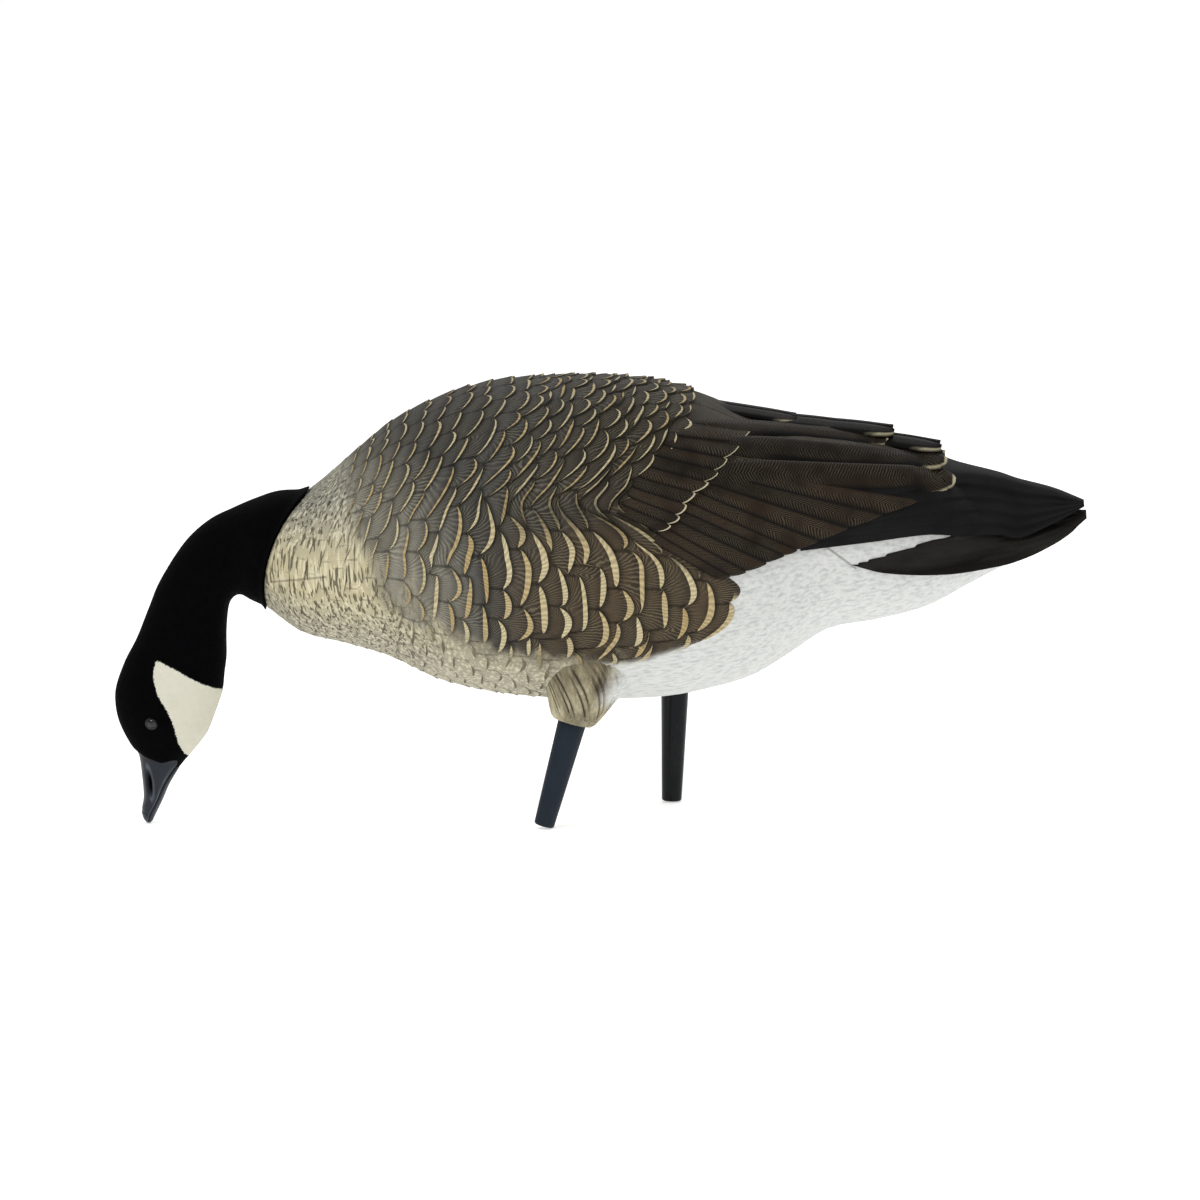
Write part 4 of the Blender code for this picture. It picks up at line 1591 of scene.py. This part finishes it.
@dataclass
class RoofedFan:
    """Feathers stacked down both slopes of a roof: the folded primaries, or the tail.

    Below its cover line, which is read by x, the fan lies on the body, and above it the body shows through.
    """

    name: str
    form: BodyForm
    stations: tuple[tuple[float, float, float, float, float, float], ...]
    cover: Table
    feathers: int
    step: float
    columns_per_feather: int = 10
    rows: int = 80

    def slope(self, station: np.ndarray, tip_near: float) -> tuple[np.ndarray, np.ndarray]:
        """Draws one slope of the roof from its lower edge to its ridge.

        Args:
            station: x, lower z, lower depth, upper z, upper depth, under z.
            tip_near: How much of the step is left near the tip.

        Returns:
            Each point's depth and height, and its place across its feather with the feather's number.
        """
        x, low_z, low_depth, high_z, high_depth, _ = station
        count = self.feathers * self.columns_per_feather
        v = (np.arange(count) + 0.5) / count
        local = (v * self.feathers) % 1.0
        number = np.floor(v * self.feathers)
        tilt = np.array([high_z - low_z, low_depth - high_depth])
        tilt = tilt / max(np.linalg.norm(tilt), 1e-9)
        rise = self.step * tip_near * (1 - local) ** 0.6
        height = low_z + (high_z - low_z) * v
        cover = read_curve(self.cover, x)
        hug = 0.0016 - 0.010 * ramp(height - cover, -0.001, 0.004)
        depth = low_depth + (high_depth - low_depth) * v
        depth = np.maximum(depth, self.form.half_width(np.full_like(height, x), height) + hug)
        depth += tilt[0] * rise
        height += tilt[1] * rise
        return np.stack([depth, height], axis=-1), np.stack([local - 0.5, number], axis=-1)

    def build(self, paint: bpy.types.Material) -> bpy.types.Object:
        """Builds the fan.

        Args:
            paint: The paint of its long feathers.

        Returns:
            The finished piece.
        """
        table = np.array(self.stations)
        xs = np.linspace(table[0, 0], table[-1, 0], self.rows)
        values = smooth_curve(table, xs)
        length = table[-1, 0] - table[0, 0]
        rings = []
        feathers = []
        for x, row in zip(xs, values):
            station = np.array([x, *row])
            tip_near = min(1.0, (table[-1, 0] - x) / 0.045 + 0.2)
            slope, places = self.slope(station, tip_near)
            ridge = station[3] + station[4] * 0.4
            left = np.stack([np.full(len(slope), x), -slope[:, 0], slope[:, 1]], axis=-1)
            right = left[::-1] * np.array([1.0, -1.0, 1.0])
            top = np.array([[x, 0.0, ridge]])
            under = np.array([[x, 0.0, station[5]]])
            rings.append(np.concatenate([left, top, right, under, left[:1]]))
            middle = np.array([[0.0, 0.0]])
            side = np.concatenate([places, middle, places[::-1], middle, places[:1]])
            tone = scatter(side[:, 1], 3.0, Chance.ROW_TONE)
            feathers.append(together((x - table[0, 0]) / length, side[:, 0], tone))
        feather = np.array(feathers)
        marks = {"feather": feather, "edge": together(np.zeros(feather.shape[:2]), 0.0, length)}
        return Skin(self.name, Slot.SHELL, paint).wrap(np.array(rings), marks)


@dataclass(frozen=True)
class Ball:
    """A ball of the eye, which may be flattened and is sunk into the head."""

    name: str
    radius: float
    flatness: float
    sunk: float


@dataclass
class HeadAndNeck:
    """The flocked neck and head, the bill and the eyes."""

    roundness: float = 2.25
    seat_forward: float = 0.013
    columns: int = 120
    rows: int = 170
    rim_proud: float = 0.0022
    pile: float = 0.0002
    seat_gap: float = 0.0012
    eye_at: Pair = (-0.3410, 0.0742)
    eye: Ball = Ball("eye", 0.0042, 1.0, 0.0016)
    lid: Ball = Ball("eyelid", 0.0056, 0.45, 0.0015)
    # The cheek patch in the side view, clockwise from its upper point.
    cheek: Table = (
        (-0.3362, 0.1216),
        (-0.3236, 0.1156),
        (-0.3122, 0.1086),
        (-0.3019, 0.1033),
        (-0.2880, 0.0980),
        (-0.2860, 0.0800),
        (-0.3000, 0.0540),
        (-0.3128, 0.0454),
        (-0.3168, 0.0490),
        (-0.3213, 0.0580),
        (-0.3248, 0.0726),
        (-0.3293, 0.0831),
        (-0.3362, 0.0947),
        (-0.3396, 0.1061),
        (-0.3396, 0.1153),
        (-0.3379, 0.1210),
    )
    bill_columns: int = 96
    bill_rows: int = 90
    # The nostril's middle in the side view, its lean, its half length across and up, and its depth.
    nostril_at: Pair = (-0.3440, 0.0262)
    nostril_lean: float = 0.12
    nostril_half: Pair = (0.0021, 0.0085)
    nostril_depth: float = 0.0024
    mouth_depth: float = 0.0014
    lip_height: float = 0.0004
    nail_height: float = 0.0006
    ridge_highlight: float = 0.8
    # How far the flocking draws back from the bill, in rows, at its top and at the corner of the mouth.
    bill_notches: Pair = (0.45, 1.0)
    gape_level: float = -0.72

    def outer(self, rows: np.ndarray, angles: np.ndarray) -> np.ndarray:
        """Finds points of the neck.

        Args:
            rows: Row numbers, which need not be whole.
            angles: Angles round it from the back.

        Returns:
            The points.
        """
        stations = smooth_curve(numbered(NECK_STATIONS), rows.ravel()).reshape(*rows.shape, -1)
        forward = self.seat_forward * np.maximum(0.0, 1 - rows / 4) ** 2
        points, outward = section_points(stations, angles, self.roundness, forward)
        proud = self.rim_proud * np.exp(-((rows / 0.22) ** 2))
        return points + outward * (proud - self.pile)[..., None]

    def inside_cheek(self, points: np.ndarray) -> np.ndarray:
        """Finds how far each point is inside the cheek patch in the side view.

        Args:
            points: The points.

        Returns:
            Distances in metres, which are negative outside the patch.
        """
        corners = np.array(self.cheek)
        x, z = points[..., 0].ravel(), points[..., 2].ravel()
        nearest = np.full(x.shape, 1.0)
        crossings = np.zeros(x.shape, dtype=int)
        for a, b in zip(corners, np.roll(corners, -1, axis=0)):
            run = b - a
            f = np.clip(((x - a[0]) * run[0] + (z - a[1]) * run[1]) / (run @ run), 0, 1)
            nearest = np.minimum(nearest, np.hypot(x - a[0] - run[0] * f, z - a[1] - run[1] * f))
            straddles = (a[1] > z) != (b[1] > z)
            rise = run[1] if abs(run[1]) > 1e-9 else 1e-9
            crossings += straddles & (x < a[0] + run[0] * (z - a[1]) / rise)
        return np.where(crossings % 2 == 1, nearest, -nearest).reshape(points.shape[:-1])

    def build_flocked(self, flock: bpy.types.Material) -> bpy.types.Object:
        """Builds the flocked neck and head.

        Args:
            flock: The flocking.

        Returns:
            The piece, in place of the CAD head and neck.
        """
        last = len(NECK_STATIONS) - 1.0
        rows = np.linspace(0.0, last, self.rows)
        turn = np.linspace(0.0, 2 * math.pi, self.columns + 1)
        rows_grid, turn_grid = np.meshgrid(rows, turn, indexing="ij")
        level = np.cos(turn_grid)
        drawn_back = self.bill_notches[0] * np.exp(-(((1 - level) / 0.25) ** 2))
        drawn_back += self.bill_notches[1] * ramp(-level, 0.05, -self.gape_level) * ramp(level, -0.90, -0.78)
        rows_grid = rows_grid - drawn_back * ramp(rows_grid, last - 3, last)
        points = self.outer(rows_grid, turn_grid)
        station = np.array(NECK_STATIONS[0])
        axis = np.array([station[0] - station[2], station[1] - station[3]])
        ahead = np.array([-axis[1], 0.0, axis[0]]) / np.linalg.norm(axis)
        points += ahead * self.seat_gap * np.exp(-rows_grid / 0.3)[..., None]
        centre = points[0, :-1].mean(axis=0)
        seat = centre + (points[0] - centre) * 0.5
        points = np.concatenate([seat[None], points])
        inside = self.inside_cheek(points)
        marks = {"patch": together(inside, 0.0, 0.0)}
        head = Skin("head_and_neck_flocked", Slot.FLOCK, flock).wrap(points, marks)
        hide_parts("head_and_neck")
        return head

    def build_bill(self, plastic: bpy.types.Material) -> bpy.types.Object:
        """Builds the bill, with its nostrils and the line of its mouth.

        Args:
            plastic: The bill's plastic.

        Returns:
            The finished piece.
        """
        last = len(BILL_STATIONS) - 1.0
        rows = np.linspace(0.0, last, self.bill_rows)
        turn = np.linspace(0.0, 2 * math.pi, self.bill_columns + 1)
        rows_grid, turn_grid = np.meshgrid(rows, turn, indexing="ij")
        stations = smooth_curve(numbered(BILL_STATIONS), rows_grid.ravel()).reshape(*rows_grid.shape, -1)
        points, outward = section_points(stations, turn_grid, self.roundness, np.zeros_like(rows_grid))
        level = np.cos(turn_grid)
        above = level + 1.02 - 0.18 * rows_grid
        lip = self.lip_height * np.exp(-(((above - 0.16) / 0.08) ** 2))
        lip -= self.mouth_depth * np.exp(-((above / 0.06) ** 2))
        up_slot = points[..., 2] - self.nostril_at[1]
        slot_x = (points[..., 0] - self.nostril_at[0] + self.nostril_lean * up_slot) / self.nostril_half[0]
        slot_z = up_slot / self.nostril_half[1]
        inside = np.exp(-((slot_x**2 + slot_z**2) ** 2))
        nail = self.nail_height * ramp(rows_grid, 4.15, 4.35) * ramp(level, -0.2, 0.2)
        relief = lip * ramp(rows_grid, 0.0, 0.6) - self.nostril_depth * inside + nail
        points += outward * relief[..., None]
        # Painted shade in the mouth line and nostrils; painted highlights on the lip's ridge and round the
        # nostrils.
        groove = np.exp(-((above / 0.05) ** 2))
        ridge = np.exp(-(((above - 0.17) / 0.06) ** 2)) * ramp(rows_grid, 0.5, 2.0)
        ring = np.exp(-(((slot_x**2 + slot_z**2) ** 0.5 - 1.5) ** 2) / 0.08) * (slot_x > -0.5)
        shade_and_highlight = together(np.maximum(inside, groove), np.maximum(ridge, ring) * self.ridge_highlight, 0.0)
        return Skin("bill", Slot.FLOCK, plastic).wrap(points, {"shade_and_highlight": shade_and_highlight})

    def build_eyes(self, gloss: bpy.types.Material, satin: bpy.types.Material) -> None:
        """Builds an eye on each side, in a low lid.

        Args:
            gloss: The plastic of the eyes.
            satin: The plastic of their lids.
        """
        rows, turn = np.meshgrid(np.linspace(8.0, 14.0, 120), np.linspace(0.0, math.pi, 90), indexing="ij")
        skin = self.outer(rows, turn)
        off = np.hypot(skin[..., 0] - self.eye_at[0], skin[..., 2] - self.eye_at[1])
        depth = -skin[np.unravel_index(off.argmin(), off.shape)][1]
        for side in Side:
            for ball, material in ((self.eye, gloss), (self.lid, satin)):
                bm = bmesh.new()
                bmesh.ops.create_uvsphere(bm, u_segments=32, v_segments=20, radius=ball.radius)
                bmesh.ops.scale(bm, verts=bm.verts[:], vec=Vector((1.0, ball.flatness, 1.0)))
                place = np.array([self.eye_at[0], side.value * (depth - ball.sunk), self.eye_at[1]])
                bmesh.ops.translate(bm, verts=bm.verts[:], vec=Vector(levelled(place)))
                Skin(f"{side.name.lower()}_{ball.name}", Slot.FLOCK, material).finish(bm)


@dataclass(frozen=True)
class PegLeg:
    """A tapered peg leg and the feathered thigh it stands in."""

    side: Side
    foot_x: float
    lean: float
    thigh_end: float
    depth: float = 0.063
    top_radius: float = 0.0108
    foot_radius: float = 0.0077
    socket_depth: float = 0.014
    edge: float = 0.0018
    floor_ease: float = 0.00001
    hair_count: int = 34
    hair_slant: float = 900.0
    hair_depth: float = 0.00035
    barb_share: float = 0.020
    thigh_rows: int = 90
    thigh_columns: int = 400
    thigh_length: float = 0.058
    # How far up the thigh its lower end is tucked in round the peg, and by how much it clears the peg.
    tuck: float = 0.006
    clearance: float = 0.0006
    peg_segments: int = 64
    edge_segments: int = 5
    thigh: Table = (
        (0.0, 0.0150),
        (0.0025, 0.0176),
        (0.010, 0.0212),
        (0.024, 0.0275),
        (0.042, 0.0355),
        (0.062, 0.0360),
    )

    def axis(self) -> tuple[np.ndarray, np.ndarray]:
        """Finds the peg's axis.

        Returns:
            The middle of its lower end, and the way up it.
        """
        up = np.array([math.sin(self.lean), 0.0, math.cos(self.lean)])
        lowest = (self.foot_radius - self.edge) * math.sin(self.lean) + self.edge * (1 - math.cos(self.lean))
        return np.array([self.foot_x, self.side.value * self.depth, lowest + self.floor_ease]), up

    def placed(self, distance: np.ndarray, radius: np.ndarray, turn: np.ndarray) -> np.ndarray:
        """Points round the peg's axis.

        Args:
            distance: Distances up the peg.
            radius: Distances from its axis.
            turn: Angles round it.

        Returns:
            The points.
        """
        foot, up = self.axis()
        ahead = np.array([up[2], 0.0, -up[0]])
        beside = np.array([0.0, 1.0, 0.0])
        spread = ahead * (radius * np.cos(turn))[..., None] + beside * (radius * np.sin(turn))[..., None]
        return foot + up * distance[..., None] + spread

    def build_peg(self, plastic: bpy.types.Material) -> bpy.types.Object:
        """Builds the peg.

        Args:
            plastic: The peg's plastic.

        Returns:
            The piece, in place of the CAD leg.
        """
        foot, up = self.axis()
        thigh_from = (self.thigh_end - foot[2]) / up[2]
        length = thigh_from + self.socket_depth
        top = self.foot_radius + (self.top_radius - self.foot_radius) * length / thigh_from
        bm = bmesh.new()
        bmesh.ops.create_cone(
            bm,
            cap_ends=True,
            segments=self.peg_segments,
            radius1=self.foot_radius,
            radius2=top,
            depth=length,
        )
        rims = [e for e in bm.edges if abs(e.verts[0].co.z - e.verts[1].co.z) < 1e-6]
        bmesh.ops.bevel(
            bm,
            geom=rims,
            offset=self.edge,
            affect="EDGES",
            segments=self.edge_segments,
            profile=0.5,
            material=-1,
        )
        turn = Vector(up).to_track_quat("Z", "Y").to_matrix().to_4x4()
        place = Matrix.Translation(Vector(foot + up * length / 2)) @ turn
        bmesh.ops.transform(bm, matrix=place, verts=bm.verts[:])
        name = f"{self.side.name.lower()}_leg"
        piece = Skin(f"{name}_peg", Slot.PEG, plastic).finish(bm)
        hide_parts(name)
        return piece

    def build_thigh(self, paint: bpy.types.Material) -> bpy.types.Object:
        """Builds the thigh, with hair grooves that run down to the peg.

        Args:
            paint: The feather paint.

        Returns:
            The finished piece.
        """
        foot, up = self.axis()
        start = (self.thigh_end - foot[2]) / up[2]
        distance = np.concatenate([[0.0, 0.0], np.linspace(0.0, self.thigh_length, self.thigh_rows)])
        radius = read_curve(self.thigh, distance)
        radius[:2] = (self.top_radius * 0.5, self.top_radius + self.clearance)
        distance[:2] = self.tuck
        turn = np.linspace(0.0, 2 * math.pi, self.thigh_columns + 1)
        up_grid, turn_grid = np.meshgrid(distance, turn, indexing="ij")
        radius_grid = np.repeat(radius[:, None], len(turn), axis=1)
        around = turn_grid * -self.side.value
        lie = around * self.hair_count + up_grid * self.hair_slant + 1.6 * np.sin(around * 3 + up_grid * 70)
        groove = self.hair_depth * np.sin(lie) * ramp(up_grid, 0.003, 0.012)
        points = self.placed(up_grid + start, radius_grid + groove, turn_grid)
        hairs = ramp(-np.sin(lie), 0.30, 0.95) * ramp(np.sin(up_grid * 230 + around * 11), -0.3, 0.5)
        hairs *= ramp(up_grid, 0.004, 0.012) * (1 - ramp(up_grid, 0.036, 0.050))
        white = ramp(np.cos(turn_grid), 0.30, 0.85) * ramp(up_grid, 0.014, 0.030)
        marks = {
            "feather": together(0.30 + 0.70 * hairs, lie * self.barb_share, 0.2),
            "zone": together(0.60 - 0.22 * ramp(up_grid, 0.012, 0.036), 0.0, white),
            "edge": together(np.full_like(up_grid, 0.35), 0.0, 0.0),
        }
        name = f"{self.side.name.lower()}_thigh"
        return Skin(name, Slot.SHELL, paint).wrap(points, marks, level=False)


@dataclass(frozen=True)
class Light:
    """One soft light: where it hangs, how wide it is and how strong, in watts."""

    name: str
    place: tuple[float, float, float]
    size: float
    watts: float


@dataclass(frozen=True)
class Studio:
    """The plain pale floor, the soft lights and the camera of the photograph's view."""

    azimuth: float = 0.0
    elevation: float = 7.5
    distance: float = 8.0
    frame_width: float = 0.9156
    aim: tuple[float, float, float] = (0.0, 0.0, 0.1655)
    roll: float = 1.02
    floor_colour: Rgb = (252, 252, 252)
    ambient: float = 0.5
    floor_glow: float = 0.52
    floor_size: float = 60.0
    floor_drop: float = 0.0005
    floor_roughness: float = 0.9
    lens_width: float = 36.0
    lit_height: float = 0.2
    lights: tuple[Light, ...] = (
        Light("key", (-1.2, -1.8, 2.6), 1.2, 40.0),
        Light("fill", (1.8, -2.2, 1.4), 2.2, 8.0),
        Light("back", (0.6, 2.2, 2.4), 2.0, 20.0),
    )

    def build_camera(self) -> None:
        """Places the camera and makes it the scene's."""
        data = bpy.data.cameras.new("view")
        data.sensor_width = self.lens_width
        data.lens = self.lens_width * self.distance / self.frame_width
        camera = bpy.data.objects.new("view", data)
        bpy.context.scene.collection.objects.link(camera)
        az, el = math.radians(self.azimuth), math.radians(self.elevation)
        back = Vector((math.sin(az) * math.cos(el), -math.cos(az) * math.cos(el), math.sin(el)))
        camera.location = Vector(self.aim) + back * self.distance
        facing = (-back).to_track_quat("-Z", "Y").to_matrix().to_4x4()
        turn = Matrix.Rotation(-math.radians(self.roll), 4, "Z")
        camera.matrix_world = Matrix.Translation(camera.location) @ facing @ turn
        bpy.context.scene.camera = camera

    def build_floor(self) -> None:
        """Lays the floor, which isn't part of the object."""
        bm = bmesh.new()
        bmesh.ops.create_grid(bm, x_segments=1, y_segments=1, size=self.floor_size)
        mesh = bpy.data.meshes.new("floor")
        bm.to_mesh(mesh)
        bm.free()
        floor = bpy.data.objects.new("floor", mesh)
        floor.location.z = -self.floor_drop
        bpy.context.scene.collection.objects.link(floor)
        tree = NodeTree("pale_floor")
        tree.shader.inputs["Base Color"].default_value = linear(self.floor_colour)
        tree.shader.inputs["Roughness"].default_value = self.floor_roughness
        tree.shader.inputs["Emission Color"].default_value = (1.0, 1.0, 1.0, 1.0)
        tree.shader.inputs["Emission Strength"].default_value = self.floor_glow
        mesh.materials.append(tree.material)

    def build_light(self, light: Light) -> None:
        """Hangs one soft light that faces the goose.

        Args:
            light: The light.
        """
        data = bpy.data.lights.new(light.name, "AREA")
        data.shape = "DISK"
        data.size = light.size
        data.energy = light.watts
        lamp = bpy.data.objects.new(light.name, data)
        bpy.context.scene.collection.objects.link(lamp)
        place = Vector(light.place)
        facing = (Vector((0, 0, self.lit_height)) - place).to_track_quat("-Z", "Y").to_matrix().to_4x4()
        lamp.matrix_world = Matrix.Translation(place) @ facing

    def build(self) -> None:
        """Builds the whole studio."""
        self.build_camera()
        self.build_floor()
        for light in self.lights:
            self.build_light(light)
        world = bpy.data.worlds.new("studio")
        world.use_nodes = True
        background = world.node_tree.nodes["Background"]
        background.inputs["Color"].default_value = (1.0, 1.0, 1.0, 1.0)
        seen = world.node_tree.nodes.new("ShaderNodeLightPath")
        strength = world.node_tree.nodes.new("ShaderNodeMapRange")
        strength.inputs["To Min"].default_value = self.ambient
        world.node_tree.links.new(seen.outputs["Is Camera Ray"], strength.inputs["Value"])
        world.node_tree.links.new(strength.outputs["Result"], background.inputs["Strength"])
        bpy.context.scene.world = world
        bpy.context.scene.view_settings.view_transform = "Standard"


def main() -> None:
    """Builds every piece in order."""
    logging.basicConfig(level=logging.INFO, format="%(message)s")
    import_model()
    Studio().build()
    form = BodyForm()
    paint = FeatherPaint().build()
    wing_paint = QuillPaint("wing_paint", (50, 38, 27), (7, 5, 4)).build()
    black_paint = QuillPaint("black_paint", (20, 20, 20), (6, 6, 6), (90, 92, 94)).build()
    tail_paint = QuillPaint("tail_paint", (45, 42, 37), (14, 13, 11), (90, 92, 94)).build()
    FeatheredShell(form).build(paint)
    for side in Side:
        FoldedWing(form, side).build(wing_paint)
    RoofedFan("folded_primaries", form, PRIMARY_STATIONS, PRIMARY_COVER, 5, 0.0016).build(black_paint)
    RoofedFan("tail_fan", form, TAIL_STATIONS, TAIL_COVER, 5, 0.0018).build(tail_paint)
    head = HeadAndNeck()
    head.build_flocked(Flocking().build())
    slate_bill = SatinPlastic("slate_bill", (27, 34, 43), (9, 13, 18), 0.40, specular=0.28, marked=True)
    head.build_bill(slate_bill.build())
    eye_gloss = SatinPlastic("eye_gloss", (5, 5, 5), (9, 8, 8), 0.22, coat=0.3).build()
    lid_satin = SatinPlastic("lid_satin", (22, 22, 24), (12, 12, 14), 0.5).build()
    head.build_eyes(eye_gloss, lid_satin)
    # Both pegs are one black plastic, given as two copies for how each is lit: a lighter, rougher copy for
    # the near peg and a darker, glossier one for the far peg.
    near_peg_lighting_copy = SatinPlastic("near_peg_lighting_copy", (26, 33, 41), (35, 43, 52), 0.50, specular=0.12).build()
    far_peg_lighting_copy = SatinPlastic("far_peg_lighting_copy", (7, 9, 11), (14, 17, 20), 0.16, specular=0.14).build()
    legs = {
        PegLeg(Side.LEFT, -0.0457, math.radians(16.2), 0.081): near_peg_lighting_copy,
        PegLeg(Side.RIGHT, 0.0525, math.radians(2.6), 0.091): far_peg_lighting_copy,
    }
    for leg, plastic in legs.items():
        leg.build_peg(plastic)
        leg.build_thigh(paint)


if __name__ == "__main__":
    main()
